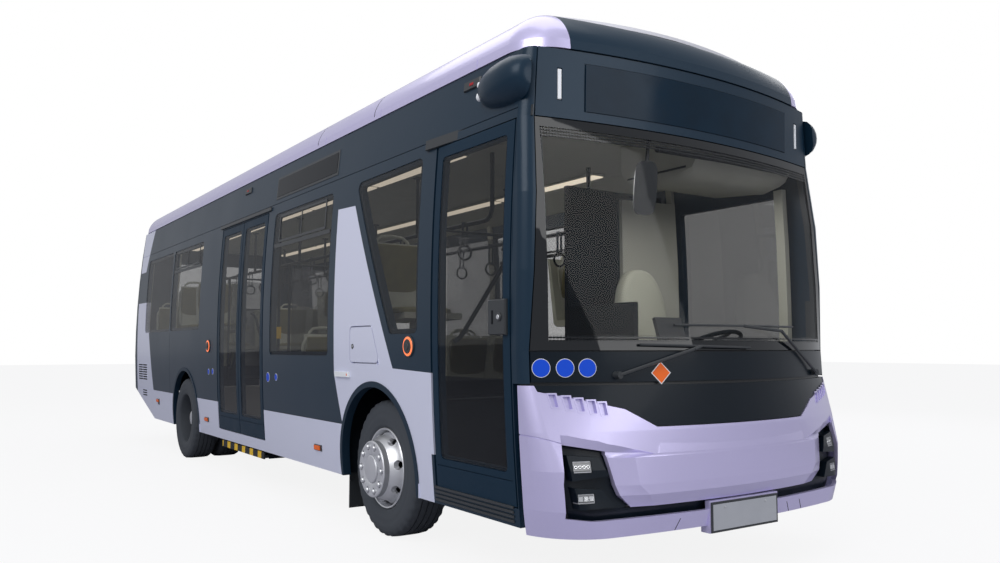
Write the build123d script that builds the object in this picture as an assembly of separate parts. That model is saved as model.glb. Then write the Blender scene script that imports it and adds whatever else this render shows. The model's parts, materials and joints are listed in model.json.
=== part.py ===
"""Low-floor city bus: body shell, doors, running gear and interior, millimetres.

+X points forward, +Y to the driver's side, +Z up.  The origin lies on the ground
in the middle of the outline.
"""
from build123d import *
from math import asin, cos, degrees, pi, radians, sin, sqrt
import os

os.makedirs("parts", exist_ok=True)

# ---------------------------------------------------------------- main sizes
OVERALL_LENGTH = 9400
HALF_WIDTH = 1200            # at the waist, where the sides bulge most
WAIST_Z = 1430               # height of the widest line
SIDE_RADIUS = 11650          # bulge of the side walls, seen from the front
ROOF_TOP_Z = 3022
FRONT_OVERHANG = 1995
WHEELBASE = 4725
NOSE_X = OVERALL_LENGTH / 2
TAIL_X = -OVERALL_LENGTH / 2
FRONT_AXLE_X = NOSE_X - FRONT_OVERHANG
REAR_AXLE_X = FRONT_AXLE_X - WHEELBASE

SKIRT_Z = 326                # lower edge of the side skirts
COVE_Z = 2745                # lower edge of the roof coves
WALL = 50                    # side wall, inner to outer face
PANEL = 25                   # moulded front and rear panels
PANEL_GAP = 6                # visible gap between neighbouring panels
SEAM = 5                     # width and depth of a pressed seam
SEAT = 0.3                   # clearance of a seated piece

# ---------------------------------------------------------------- wheels
TYRE_R = 433.5
TYRE_WIDTH = 265
RIM_R = 256
RIM_SEAT_R = 247
HUB_BORE_R = 60
HUB_FACE_R = 176
HAND_HOLES = 8
WHEEL_SIDES = 36             # facets round a tyre or rim
FRONT_TYRE_FACE = 1112       # outer sidewall of the front tyres, from the centre
REAR_TYRE_FACE = 1172        # outer sidewall of the outer rear tyres
TWIN_GAP = 36                # between the two rear tyres of a pair
KINGPIN_Y = 905
ARCH_R = 520
ARCH_TRIM = 36               # width of the trim round an arch
TRIM_PROUD = 6
FRONT_TYRE_MID = FRONT_TYRE_FACE - TYRE_WIDTH / 2
REAR_TYRE_MID = REAR_TYRE_FACE - TYRE_WIDTH / 2
REAR_TWIN_MID = REAR_TYRE_MID - TYRE_WIDTH - TWIN_GAP

# ---------------------------------------------------------------- floor
FLOOR_Z = 385
DECK = 50
PLATFORM_Z = 800             # raised floor over the rear axle
PLATFORM_X = -1150
WHEELBOX_WALL = 20
FRONT_BOX_Y = 520
REAR_BOX_Y = 560
BOX_HALF = 560
BOX_TOP_Z = 985

# ---------------------------------------------------------------- doors
FRONT_DOOR = (3460, 4262)    # rear and front edge of the opening
REAR_DOOR = (-770, 580)
DOOR_TOP_Z = 2366
DOOR_BOTTOM_Z = 425
DOOR_THICK = 40
JAMB_GAP = 20                # at a pivoting edge
MEET_GAP = 12                # at a free edge
PIVOT_INSET = 150            # pivot line from the leaf's edge
PIVOT_Y = 1137
PIN_R = 14
PIN_GRIP = 34                # length of a pivot pin in its bore
LEAF_FRAME = 62

# ---------------------------------------------------------------- glazing
GLASS = 6
GLASS_INSET = 2
WINDOW_TOP_Z = 2330
FRONT_SILL_Z = 1150
REAR_SILL_Z = 1400
WINDOW_BORDER = 28


def side_y(z, inset=0):
    """Half width of the body at height z, moved inwards by inset."""
    radius = SIDE_RADIUS - inset
    return HALF_WIDTH - SIDE_RADIUS + sqrt(radius ** 2 - (z - WAIST_Z) ** 2)


DECK_HALF = side_y(FLOOR_Z - DECK, WALL) - SEAT
BEARER_HALF = side_y(SKIRT_Z, WALL) - SEAT
PLATFORM_HALF = side_y(PLATFORM_Z - DECK, WALL) - SEAT


def block(x0, x1, y0, y1, z0, z1):
    """Axis-aligned solid between two corners."""
    size = Box(abs(x1 - x0), abs(y1 - y0), abs(z1 - z0))
    return Pos((x0 + x1) / 2, (y0 + y1) / 2, (z0 + z1) / 2) * size


def rod(start, end, radius):
    """Round bar between two points."""
    run = Vector(*end) - Vector(*start)
    frame = Plane(origin=start, z_dir=run)
    return frame.location * Pos(0, 0, run.length / 2) * Cylinder(radius, run.length)


def bar(start, end, radius, sides=6):
    """Bar of polygonal section between two points."""
    run = Vector(*end) - Vector(*start)
    return extrude(Plane(origin=start, z_dir=run) * RegularPolygon(radius, sides), amount=run.length)


def chain(points, radius):
    """Bars along a run of points, joined at their ends."""
    joined = bar(points[0], points[1], radius)
    for start, end in zip(points[1:], points[2:]):
        joined += bar(start, end, radius)
    return joined


def faceted_ring(section, sides=WHEEL_SIDES):
    """Ring of flat facets about Z; section lists (height, radius to the facets)."""
    step = 2 * pi / sides
    reach = 1 / cos(step / 2)
    rows = []
    for count in range(sides):
        turn = (count + 0.5) * step
        rows.append([Vector(r * reach * cos(turn), r * reach * sin(turn), z) for z, r in section])
    faces = []
    for here, there in zip(rows, rows[1:] + rows[:1]):
        for low, high in zip(range(len(section)), list(range(1, len(section))) + [0]):
            corners = [here[low], there[low], there[high], here[high]]
            faces.append(Face(Wire.make_polygon(corners, close=True)))
    return Solid(Shell(faces))


def mirrored(solid):
    """Copy on the other side of the body."""
    return mirror(solid, about=Plane.XZ)


def slab(x0, x1, z0, z1, inset, thickness):
    """Curved plate of the left side between two heights."""
    z_mid = (z0 + z1) / 2
    deep = inset + thickness
    low_out, mid_out, high_out = [(side_y(z, inset), z) for z in (z0, z_mid, z1)]
    low_in, mid_in, high_in = [(side_y(z, deep), z) for z in (z0, z_mid, z1)]
    outline = Wire([
        Edge.make_three_point_arc((x0, *low_out), (x0, *mid_out), (x0, *high_out)),
        Edge.make_line((x0, *high_out), (x0, *high_in)),
        Edge.make_three_point_arc((x0, *high_in), (x0, *mid_in), (x0, *low_in)),
        Edge.make_line((x0, *low_in), (x0, *low_out)),
    ])
    return extrude(Face(outline), amount=x1 - x0, dir=(1, 0, 0))


def prism(corners, radius, grow=0, y0=900, y1=1400):
    """Prism across the left wall from an outline of (x, z) corners."""
    face = Plane.XZ * make_face(Polyline(*corners, close=True))
    face = offset(face, grow, kind=Kind.INTERSECTION) if grow else face
    round_r = max(radius + grow, 2)
    face = fillet(face.vertices(), round_r)
    return extrude(face, amount=y1 - y0, dir=(0, 1, 0)).moved(Pos(0, y0, 0))


def rectangle(x0, x1, z0, z1):
    """Corners of an upright rectangle."""
    return [(x0, z0), (x1, z0), (x1, z1), (x0, z1)]


def parts_of(*solids):
    """Join solids, or keep those that don't touch as one compound."""
    joined = solids[0]
    for other in solids[1:]:
        joined = joined + other
    return joined


# ================================================================ body shell
# Plan outline at each height: nose position, radius of the front curve and
# radius of the corner.
FRONT_SECTIONS = [
    # height, nose x, front radius, corner radius
    (300, 4660, 5400, 360),
    (430, 4688, 4500, 290),
    (620, 4700, 3300, 150),
    (800, 4696, 2720, 100),
    (1030, 4682, 2320, 85),
    (1190, 4670, 2340, 70),
    (1590, 4595, 3100, 70),
    (1980, 4522, 4200, 70),
    (2376, 4450, 5000, 70),
    (2560, 4462, 4500, 70),
    (COVE_Z, 4474, 4200, 70),
    (COVE_Z + 60, 4470, 4200, 70),
]
REAR_SECTIONS = [
    # height, tail distance, rear radius, corner radius
    (SKIRT_Z, 4690, 30000, 90),
    (700, 4700, 30000, 90),
    (1100, 4700, 30000, 90),
    (1430, 4684, 30000, 92),
    (1760, 4666, 30000, 95),
    (2090, 4646, 30000, 98),
    (2420, 4622, 30000, 102),
    (COVE_Z, 4594, 30000, 108),
]
SECTION_BACK = 3900          # where the front and rear volumes are cut off


def plan_outline(z, reach, end_radius, corner_radius, inset):
    """Closed plan outline of one end of the body at height z."""
    half = side_y(z, inset)
    big = end_radius - inset
    small = max(corner_radius - inset, 4)
    centre_x = reach - end_radius
    corner_y = half - small
    corner_x = centre_x + sqrt((big - small) ** 2 - corner_y ** 2)
    turn = asin(corner_y / (big - small))
    touch = (centre_x + big * cos(turn), big * sin(turn))
    middle = (turn + pi / 2) / 2
    bend = (corner_x + small * cos(middle), corner_y + small * sin(middle))
    nose = (reach - inset, 0)
    return Wire([
        Edge.make_line((SECTION_BACK, -half, z), (corner_x, -half, z)),
        Edge.make_three_point_arc((corner_x, -half, z), (bend[0], -bend[1], z), (touch[0], -touch[1], z)),
        Edge.make_three_point_arc((touch[0], -touch[1], z), (nose[0], 0, z), (touch[0], touch[1], z)),
        Edge.make_three_point_arc((touch[0], touch[1], z), (bend[0], bend[1], z), (corner_x, half, z)),
        Edge.make_line((corner_x, half, z), (SECTION_BACK, half, z)),
        Edge.make_line((SECTION_BACK, half, z), (SECTION_BACK, -half, z)),
    ])


def end_volume(sections, inset):
    """Solid end of the body, through all the plan outlines of a table."""
    outlines = [plan_outline(*row, inset) for row in sections]
    return Solid.make_loft(outlines, ruled=True)


def end_shell(sections, inset, thickness):
    """Skin of one end of the body."""
    return end_volume(sections, inset) - end_volume(sections, inset + thickness)


SEAM_LOW_Y = 1160            # windscreen edge at the belt
SEAM_HIGH_Y = 1078           # header edge at the cove
BELT_Z = 1190
HEADER_Z = 2376
BELT_GAP_Z = 1030
BELT_GAP = 16
BUMPER_EDGE_X = 4305
PILLAR_X = 4268


def seam_band(grow=0):
    """Slice of space between the two corner seams of the front."""
    low, high = SEAM_LOW_Y + grow, SEAM_HIGH_Y + grow
    corners = [(-low, SKIRT_Z), (low, SKIRT_Z), (low, BELT_Z), (high, COVE_Z + 40), (-high, COVE_Z + 40),
               (-low, BELT_Z)]
    face = Plane.YZ * make_face(Polyline(*corners, close=True))
    return extrude(face, amount=NOSE_X + 100, dir=(1, 0, 0))


# The rows that bumper and belt, the windscreen and the header each need.
LOW_ROWS = FRONT_SECTIONS[:6]
SCREEN_ROWS = FRONT_SECTIONS[5:9]
HIGH_ROWS = FRONT_SECTIONS[8:]
between_seams = seam_band(-PANEL_GAP / 2)


def front_slice(skin, z0, z1, band, x_min=3950):
    """Part of a front skin between two heights."""
    return skin & block(x_min, NOSE_X + 50, -HALF_WIDTH, HALF_WIDTH, z0, z1) & band


# ---- header above the windscreen, with the destination display let in
DISPLAY = (820, 2425, 2680)  # half width, lower and upper edge
LAMP_SLOT_Y = 960
header = front_slice(end_shell(HIGH_ROWS, 0, PANEL), HEADER_Z + PANEL_GAP / 2, COVE_Z - PANEL_GAP,
                     between_seams)
display_cut = block(NOSE_X - 600, NOSE_X, -DISPLAY[0], DISPLAY[0], DISPLAY[1], DISPLAY[2])
header -= display_cut & end_shell(HIGH_ROWS, -5, 9)
lamp_slots = [block(4300, NOSE_X, side * LAMP_SLOT_Y - 14, side * LAMP_SLOT_Y + 14, 2470,
                    2640) for side in (-1, 1)]
header -= (lamp_slots[0] + lamp_slots[1]) & end_shell(HIGH_ROWS, -5, 13)

# ---- windscreen
WINDSCREEN_GLASS = 8
screen_skin = end_shell(SCREEN_ROWS, 2, WINDSCREEN_GLASS)
windscreen = front_slice(screen_skin, BELT_Z + PANEL_GAP / 2, HEADER_Z - PANEL_GAP / 2, between_seams)

# ---- frame behind the front panels: two posts and three beams
FRAME_DEPTH = 52
FRAME_WIDTH = 46
frame_band = seam_band(PANEL_GAP / 2 - SEAT)
post_band = frame_band - seam_band(-FRAME_WIDTH)
deep_skin = end_shell(FRONT_SECTIONS, PANEL + SEAT, FRAME_DEPTH - PANEL)
glass_seat_skin = end_shell(FRONT_SECTIONS, 2 + WINDSCREEN_GLASS + SEAT, FRAME_DEPTH - WINDSCREEN_GLASS - 2)
crown_seat_skin = end_shell(FRONT_SECTIONS, 14.5, FRAME_DEPTH - 14.5)
FRAME_LOW_Z = 940
FRAME_BACK_X = PILLAR_X + SEAT
front_frame = front_slice(deep_skin, FRAME_LOW_Z, BELT_Z, post_band, FRAME_BACK_X)
front_frame += front_slice(deep_skin, FRAME_LOW_Z, BELT_GAP_Z + 40, frame_band, FRAME_BACK_X)
front_frame += front_slice(deep_skin, BELT_Z - 50, BELT_Z + PANEL_GAP / 2, frame_band, FRAME_BACK_X)
front_frame += front_slice(glass_seat_skin, BELT_Z + PANEL_GAP / 2, BELT_Z + 40, frame_band, FRAME_BACK_X)
front_frame += front_slice(glass_seat_skin, BELT_Z, HEADER_Z, post_band, FRAME_BACK_X)
front_frame += front_slice(glass_seat_skin, HEADER_Z - 40, HEADER_Z, frame_band, FRAME_BACK_X)
front_frame += front_slice(deep_skin, HEADER_Z, HEADER_Z + 40, frame_band, FRAME_BACK_X)
front_frame += front_slice(deep_skin, HEADER_Z, COVE_Z - 30, post_band, FRAME_BACK_X)
front_frame += front_slice(deep_skin, COVE_Z - 50, COVE_Z - PANEL_GAP + SEAT, frame_band, FRAME_BACK_X)
crown_band = block(3900, NOSE_X, -850, 850, 0, ROOF_TOP_Z)
front_frame += front_slice(deep_skin, COVE_Z - 50, COVE_Z + 5, crown_band, FRAME_BACK_X)
front_frame += front_slice(crown_seat_skin, COVE_Z - PANEL_GAP + SEAT, COVE_Z + 5, crown_band)

# ---- belt panel below the windscreen
low_skin = end_shell(LOW_ROWS, 0, PANEL)
belt_panel = front_slice(low_skin, BELT_GAP_Z + BELT_GAP / 2, BELT_Z - PANEL_GAP / 2, between_seams)

# ---- bumper: wings with slots, shield under a brow, lip; black inlays behind the openings
BUMPER_TOP_Z = BELT_GAP_Z - BELT_GAP / 2


def front_station(y, z, inset=0):
    """Station of the front surface at a place across and a height."""
    low, high = [pair for pair in zip(FRONT_SECTIONS,
                                      FRONT_SECTIONS[1:]) if pair[0][0] <= z <= pair[1][0]][0]
    share = (z - low[0]) / (high[0] - low[0])
    reach, radius = [low[n] + share * (high[n] - low[n]) for n in (1, 2)]
    return reach - radius + sqrt((radius - inset) ** 2 - y ** 2)


def front_prism(corners, x0=4000):
    """Prism along X from an outline of (y, z) corners."""
    face = Plane.YZ * make_face(Polyline(*corners, close=True))
    return extrude(face, amount=NOSE_X + 100 - x0, dir=(1, 0, 0)).moved(Pos(x0, 0, 0))


def symmetric_outline(right_half):
    """Mirror a list of (y, z) points with y > 0 to a closed outline."""
    return right_half + [(-y, z) for y, z in reversed(right_half)]


def both_sides(solid):
    """A solid and its mirror image on the other side."""
    return solid + mirrored(solid)


# Edge of the black inlay, from the outer end to the middle.
INLAY_EDGE = [(1147, BUMPER_TOP_Z), (1137, 993), (812, 922), (738, 905), (663, 864), (572, 815)]
# Slots of one wing: outer and inner y and z of the top edge; all slant the same way.
WING_SLOTS = [(1093, 1062, 980), (1031, 999, 969), (975, 943, 958), (918, 885, 948), (867, 834, 938)]
SLOT_HEIGHT = 60
SLOT_SLANT = 12
SLOT_DEPTH = 17
SLOT_RIM = 7
LAMP_TOP = [(1067, 744), (845, 704), (709, 692), (563, 674)]      # upper edge of the lamp recess
BROW_TOP_Z = [793, 747, 714, 679]                                 # the brow's edge above those corners
BROW_DEPTH = 21
LAMP_OUTSIDE = [(1078, 560), (1062, 400), (940, 385)]
inlay_outline = symmetric_outline(INLAY_EDGE)
front_face_band = block(BUMPER_EDGE_X, NOSE_X, -HALF_WIDTH, HALF_WIDTH, 0, ROOF_TOP_Z)


def slot_outline(outer_y, inner_y, top_z, grow=0):
    """Slanted outline of one wing slot."""
    low_z = top_z - SLOT_HEIGHT
    return [(outer_y + grow, top_z + grow), (outer_y - SLOT_SLANT + grow, low_z - grow),
            (inner_y - SLOT_SLANT / 2 - grow, low_z - grow), (inner_y - grow, top_z + grow)]


bumper = front_slice(low_skin, FRONT_SECTIONS[0][0], BUMPER_TOP_Z, front_face_band)
bumper -= front_prism(inlay_outline)
bumper -= front_prism(symmetric_outline(LAMP_OUTSIDE[::-1] + LAMP_TOP))


def slot_prisms(grow):
    """Prisms through the slots of the left wing."""
    return parts_of(*[front_prism(slot_outline(*slot, grow), 4300) for slot in WING_SLOTS])


bumper += both_sides(end_shell(LOW_ROWS, -2, PANEL) & slot_prisms(SLOT_RIM))
bumper -= both_sides(end_shell(LOW_ROWS, -10, 10 + SLOT_DEPTH) & slot_prisms(0))

# The brow over each lamp: a wedge cut along the edge of the recess.
wedge_rows = []
for (y, low_z), high_z in zip(LAMP_TOP, BROW_TOP_Z):
    crest = (front_station(y, high_z, -1), y, high_z)
    front, back = [(front_station(y, low_z - 2, inset), y, low_z - 2) for inset in (-25, BROW_DEPTH)]
    wedge_rows.append(Wire.make_polygon([crest, front, back], close=True))
bumper -= both_sides(Solid.make_loft(wedge_rows, ruled=True))

# Shield: a raised middle whose sides fall back to the lamps.
SHIELD_ROWS = [
    # height, setback of the middle, half width of the middle, half width, fall of the edge
    (432, 26, 590, 715, 44),
    (492, -2, 640, 785, 26),
    (541, -2, 693, 806, 27),
    (673, -1.2, 711, 838, 28),
    (688, -1.2, 570, 845, 28),
    (770, 2, 560, 845, 28),
]


def shield_outline(z, setback, middle, half, fall):
    """Plan outline of the shield at height z."""
    edge, side = (front_station(middle, z, setback), middle), (front_station(half, z, fall), half)
    back_x = front_station(half, z, fall + 60)
    return Wire([
        Edge.make_line((back_x, -half, z), (side[0], -half, z)),
        Edge.make_line((side[0], -half, z), (edge[0], -middle, z)),
        Edge.make_three_point_arc((edge[0], -middle, z), (front_station(0, z, setback), 0, z),
                                  (edge[0], middle, z)),
        Edge.make_line((edge[0], middle, z), (side[0], half, z)),
        Edge.make_line((side[0], half, z), (back_x, half, z)),
        Edge.make_line((back_x, half, z), (back_x, -half, z)),
    ])


shield = Solid.make_loft([shield_outline(*row) for row in SHIELD_ROWS], ruled=True) - end_volume(LOW_ROWS,
        50)
bumper += shield
seam_cut = front_prism([(HALF_WIDTH, 792), (HALF_WIDTH, 786), (1050, 742), (1050, 748)])
bumper -= both_sides(end_shell(LOW_ROWS, -10, 10 + SEAM) & seam_cut)
PLATE = (540, 262, 425, 4672)       # width, low and high edge of the plate's holder, its face
bumper += block(PLATE[3] - 60, PLATE[3], -PLATE[0] / 2 + 20, PLATE[0] / 2 + 20, PLATE[1], PLATE[2] - 60) + \
    block(PLATE[3] - 30, PLATE[3], -PLATE[0] / 2 + 20, PLATE[0] / 2 + 20, PLATE[1], PLATE[2])

inlay_skin = end_shell(LOW_ROWS, 4, PANEL - 4)
inlay_panel = front_slice(inlay_skin, 700, BUMPER_TOP_Z, front_prism(
    symmetric_outline([(y - 4, z if z == BUMPER_TOP_Z else z + 4) for y, z in INLAY_EDGE])))
inlay_panel -= both_sides(slot_prisms(SLOT_RIM + SEAT))

# Black housings in the lamp recesses, each with two bezels round its lamps.
HOUSING_BACK = 88            # how deep behind the face the housings reach
housing_skin = end_shell(LOW_ROWS, HOUSING_BACK - 30, 30)
HOUSING = [(940, 360), (1010, 372), (1095, 790), (800, 716), (690, 450)]
BEZELS = [
    # outer top, inner top, inner low, outer low
    [(1044, 694), (892, 678), (842, 590), (1030, 574)],
    [(1024, 542), (886, 528), (822, 446), (1004, 440)],
]
LAMP_ROWS = [
    # centre y, centre z, half width, half height
    (975, 637, 45, 27),
    (968, 490, 42, 22),
]
housing_left = housing_skin & front_prism(HOUSING)
housing_left += end_shell(LOW_ROWS, 12, 50) & parts_of(*[front_prism(outline) for outline in BEZELS])
lamp_skin = end_shell(LOW_ROWS, 18, 30)
lamp_pocket = end_shell(LOW_ROWS, -5, 5 + 48 + SEAT)
lamp_units = []
for lamp_y, lamp_z, half_w, half_h in LAMP_ROWS:
    window = block(4200, NOSE_X, lamp_y - half_w, lamp_y + half_w, lamp_z - half_h, lamp_z + half_h)
    grown = block(4200, NOSE_X, lamp_y - half_w - SEAT, lamp_y + half_w + SEAT, lamp_z - half_h - SEAT,
                  lamp_z + half_h + SEAT)
    housing_left -= lamp_pocket & grown
    lamp_units += [lamp_skin & window, mirrored(lamp_skin & window)]
# Ears at the outer ends lie flat on the back of the bumper and carry the housings.
housing_left += end_shell(LOW_ROWS, PANEL, HOUSING_BACK - PANEL) & block(4300, NOSE_X, 1060, 1100, 600, 720)
slot_panel = housing_skin & block(4400, NOSE_X, -960, 960, 366, 428)
housings = housing_left + mirrored(housing_left) + slot_panel
bumper_inlays = parts_of(inlay_panel, housings)

# ================================================================ side walls
COVE_SEAT = 16.5             # how deep behind the wall's face the coves rest
COVE_RAIL_X = (-4290, 4100)  # straight length that carries the side coves
ARCH_ZONES = [(FRONT_AXLE_X, FRONT_TYRE_FACE), (REAR_AXLE_X, REAR_TYRE_FACE)]
REAR_CORNER_X = -4560
DEPARTURE_X = -3540          # where the rear skirt starts to rise
DEPARTURE_Z = 700

# Windows of each side: outline corners and whether a hopper bar crosses them.
TRAPEZE = [(2376, 2332), (3300, 2344), (3300, 1292), (2945, 1292)]
RIGHT_WINDOWS = [
    TRAPEZE,
    rectangle(752, 1975, FRONT_SILL_Z, WINDOW_TOP_Z),
    rectangle(-2660, -1440, REAR_SILL_Z, WINDOW_TOP_Z),
    rectangle(-4010, -2720, REAR_SILL_Z, WINDOW_TOP_Z),
]
LEFT_WINDOWS = [
    rectangle(3180, 4170, 1210, 2240),
    rectangle(1940, 3060, FRONT_SILL_Z, WINDOW_TOP_Z),
    rectangle(660, 1880, FRONT_SILL_Z, WINDOW_TOP_Z),
    rectangle(-640, 600, FRONT_SILL_Z, WINDOW_TOP_Z),
    rectangle(-2000, -700, REAR_SILL_Z, WINDOW_TOP_Z),
    rectangle(-3280, -2060, REAR_SILL_Z, WINDOW_TOP_Z),
    rectangle(-4280, -3340, REAR_SILL_Z, WINDOW_TOP_Z),
]
WINDOW_CORNER = 45


def arch_cut(axle_x, radius):
    """Opening of a wheel arch through the left wall."""
    across = Pos(axle_x, HALF_WIDTH, TYRE_R) * Rot(90, 0, 0) * Cylinder(radius, 500)
    below = block(axle_x - radius, axle_x + radius, 900, 1400, 0, TYRE_R)
    return across + below


def departure_cut():
    """Wedge that lifts the rear end of the skirt."""
    corners = [(DEPARTURE_X, SKIRT_Z - 1), (TAIL_X - 50, DEPARTURE_Z + 20), (TAIL_X - 50, SKIRT_Z - 1)]
    face = Plane.XZ * make_face(Polyline(*corners, close=True))
    return extrude(face, amount=3000, both=True)


def arch_trim(axle_x):
    """Proud trim round a wheel arch."""
    ring = arch_cut(axle_x, ARCH_R + ARCH_TRIM) - arch_cut(axle_x, ARCH_R)
    reach = ARCH_R + ARCH_TRIM + 10
    return slab(axle_x - reach, axle_x + reach, SKIRT_Z, TYRE_R + reach, -TRIM_PROUD,
                TRIM_PROUD + 15) & ring


# Pressed seams of the side walls: x0, x1, z0, z1, one of the two spans being a seam's width.
CANTRAIL_Z = 2420
SKIRT_TOP_Z = 680
PANEL_SEAM_X = -2690
SIDE_SEAMS = [
    (REAR_CORNER_X + 120, PILLAR_X, CANTRAIL_Z, CANTRAIL_Z + SEAM),
    (REAR_CORNER_X + 120, REAR_AXLE_X - ARCH_R - ARCH_TRIM, SKIRT_TOP_Z, SKIRT_TOP_Z + SEAM),
    (REAR_AXLE_X + ARCH_R + ARCH_TRIM, REAR_DOOR[0] - 30, SKIRT_TOP_Z, SKIRT_TOP_Z + SEAM),
    (REAR_DOOR[1] + 30, FRONT_AXLE_X - ARCH_R - ARCH_TRIM, SKIRT_TOP_Z, SKIRT_TOP_Z + SEAM),
    (PANEL_SEAM_X, PANEL_SEAM_X + SEAM, SKIRT_Z - 10, REAR_SILL_Z - 20),
]
side_seams = parts_of(*[slab(*row, -10, 10 + SEAM) for row in SIDE_SEAMS])
pillar_skin = end_shell(FRONT_SECTIONS, 0, WALL)
outside_seams = block(PILLAR_X - 15, NOSE_X, 0, HALF_WIDTH + 50, BELT_GAP_Z,
                      COVE_Z - PANEL_GAP) - seam_band(PANEL_GAP / 2)
left_pillar = pillar_skin & outside_seams

rear_skin = end_shell(REAR_SECTIONS, 0, PANEL)
inside_rear = mirror(end_volume(REAR_SECTIONS, PANEL + SEAT), about=Plane.YZ)


def side_wall(windows):
    """Left-hand wall with its arches, windows and corner pillar."""
    wall = slab(REAR_CORNER_X + 95, PILLAR_X, SKIRT_Z, COVE_Z - PANEL_GAP, 0, WALL)
    wall += left_pillar
    wall += slab(*COVE_RAIL_X, COVE_Z - 60, COVE_Z + 50, COVE_SEAT, WALL - COVE_SEAT)
    corner_strip = slab(REAR_CORNER_X + 55, REAR_CORNER_X + 100, SKIRT_Z, COVE_Z - PANEL_GAP, PANEL,
                        WALL - PANEL)
    wall += corner_strip & inside_rear
    wall -= block(BUMPER_EDGE_X - PANEL_GAP, NOSE_X, 900, 1300, 0, BELT_GAP_Z)
    for axle_x, _ in ARCH_ZONES:
        wall -= arch_cut(axle_x, ARCH_R)
        wall += arch_trim(axle_x)
    wall -= departure_cut()
    wall -= side_seams
    rebates = [prism(outline, WINDOW_CORNER, 3) for outline in windows]
    rebate_skin = slab(TAIL_X, NOSE_X, SKIRT_Z, COVE_Z, -20, 20 + GLASS_INSET + GLASS + SEAT)
    for outline, rebate in zip(windows, rebates):
        wall -= rebate_skin & rebate
        wall -= prism(outline, WINDOW_CORNER, -WINDOW_BORDER)
    return wall


def glass_panes(windows):
    """Flush panes of the left-hand wall."""
    skin = slab(TAIL_X, NOSE_X, SKIRT_Z, COVE_Z, GLASS_INSET, GLASS)
    return [skin & prism(outline, WINDOW_CORNER) for outline in windows]


def door_cut(zone):
    """Doorway through the left wall, open down to the sill."""
    return block(zone[0], zone[1], 900, 1400, DOOR_BOTTOM_Z - PANEL_GAP, DOOR_TOP_Z + PANEL_GAP)


FLAP_OUTLINE = [(2362, 1110), (2796, 1110), (2688, 1343), (2362, 1343)]   # x, z; hinged at the second edge
FLAP_ZONE = (2310, 2850, 1060, 1400)
FLAP_THICK = 14
FLAP_GAP = 8
FLAP_PIN_R = 3.5
FLAP_PIN_INSET = 7
FLAP_PIN_GRIP = 16
FLAP_RELIEF_R = FLAP_PIN_INSET + FLAP_GAP + 1    # room in the wall for the flap's corners as it swings


def flap_pin(reach, radius):
    """Slanted hinge pin of the charge flap, past the flap's ends by reach."""
    (low_x, low_z), (high_x, high_z) = FLAP_OUTLINE[1:3]
    along = Vector(high_x - low_x, 0, high_z - low_z).normalized()
    ends = []
    for x, z in FLAP_OUTLINE[1:3]:
        pin_x, pin_z = x - FLAP_PIN_INSET * along.Z, z + FLAP_PIN_INSET * along.X
        ends.append(Vector(pin_x, side_y(pin_z) - FLAP_THICK / 2, pin_z))
    run = (ends[1] - ends[0]).normalized() * reach
    return rod(tuple(ends[0] - run), tuple(ends[1] + run), radius)


right_wall = side_wall(RIGHT_WINDOWS) - door_cut(FRONT_DOOR) - door_cut(REAR_DOOR)
flap_bay = slab(*FLAP_ZONE, -20, 20 + FLAP_THICK + 16)
right_wall -= flap_bay & prism(FLAP_OUTLINE, 30, FLAP_GAP)


def upright_pin(x, y, radius, z0, z1):
    """Vertical pin between two heights."""
    return Pos(x, y, (z0 + z1) / 2) * Cylinder(radius, z1 - z0)


# Pivot lines of the leaves and where their pins sit in the wall.
PIVOT_XS = {
    "front": FRONT_DOOR[0] + JAMB_GAP + PIVOT_INSET,
    "rear_back": REAR_DOOR[0] + JAMB_GAP + PIVOT_INSET,
    "rear_front": REAR_DOOR[1] - JAMB_GAP - PIVOT_INSET,
}
PIN_LOW_Z = DOOR_BOTTOM_Z - PANEL_GAP - PIN_GRIP
PIN_HIGH_Z = DOOR_TOP_Z + PANEL_GAP + PIN_GRIP
for pivot_x in PIVOT_XS.values():
    right_wall -= upright_pin(pivot_x, PIVOT_Y, PIN_R + SEAT, PIN_LOW_Z - 2, PIN_HIGH_Z + 2)
right_wall -= flap_pin(FLAP_GAP + FLAP_PIN_GRIP + 1, FLAP_PIN_R + SEAT)
right_wall -= flap_pin(FLAP_GAP, FLAP_RELIEF_R)
right_wall = mirrored(right_wall)
left_wall = side_wall(LEFT_WINDOWS)

flap_plate = slab(*FLAP_ZONE, 0, FLAP_THICK) & prism(FLAP_OUTLINE, 30)
flap_plate += flap_pin(FLAP_GAP + FLAP_PIN_GRIP, FLAP_PIN_R)
charge_flap = mirrored(flap_plate)

# ================================================================ doors


def leaf_pieces(x0, x1, pivot_x):
    """Frame and pane of one door leaf, in the left-hand wall."""
    body = slab(x0, x1, DOOR_BOTTOM_Z, DOOR_TOP_Z, 0, DOOR_THICK)
    opening = rectangle(x0 + LEAF_FRAME, x1 - LEAF_FRAME, DOOR_BOTTOM_Z + 165, DOOR_TOP_Z - 70)
    rebate_skin = slab(x0, x1, DOOR_BOTTOM_Z, DOOR_TOP_Z, -20, 20 + GLASS_INSET + GLASS + SEAT)
    frame = body - (rebate_skin & prism(opening, 25, 3)) - prism(opening, 25, -14)
    kick = slab(x0 + 20, x1 - 20, DOOR_BOTTOM_Z + 122, DOOR_BOTTOM_Z + 122 + SEAM, -5, 5 + SEAM)
    frame -= kick
    frame += upright_pin(pivot_x, PIVOT_Y, PIN_R, PIN_LOW_Z, DOOR_BOTTOM_Z + 2)
    frame += upright_pin(pivot_x, PIVOT_Y, PIN_R, DOOR_TOP_Z - 2, PIN_HIGH_Z)
    pane = slab(x0, x1, DOOR_BOTTOM_Z, DOOR_TOP_Z, GLASS_INSET, GLASS) & prism(opening, 25)
    return mirrored(frame), mirrored(pane)


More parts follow.
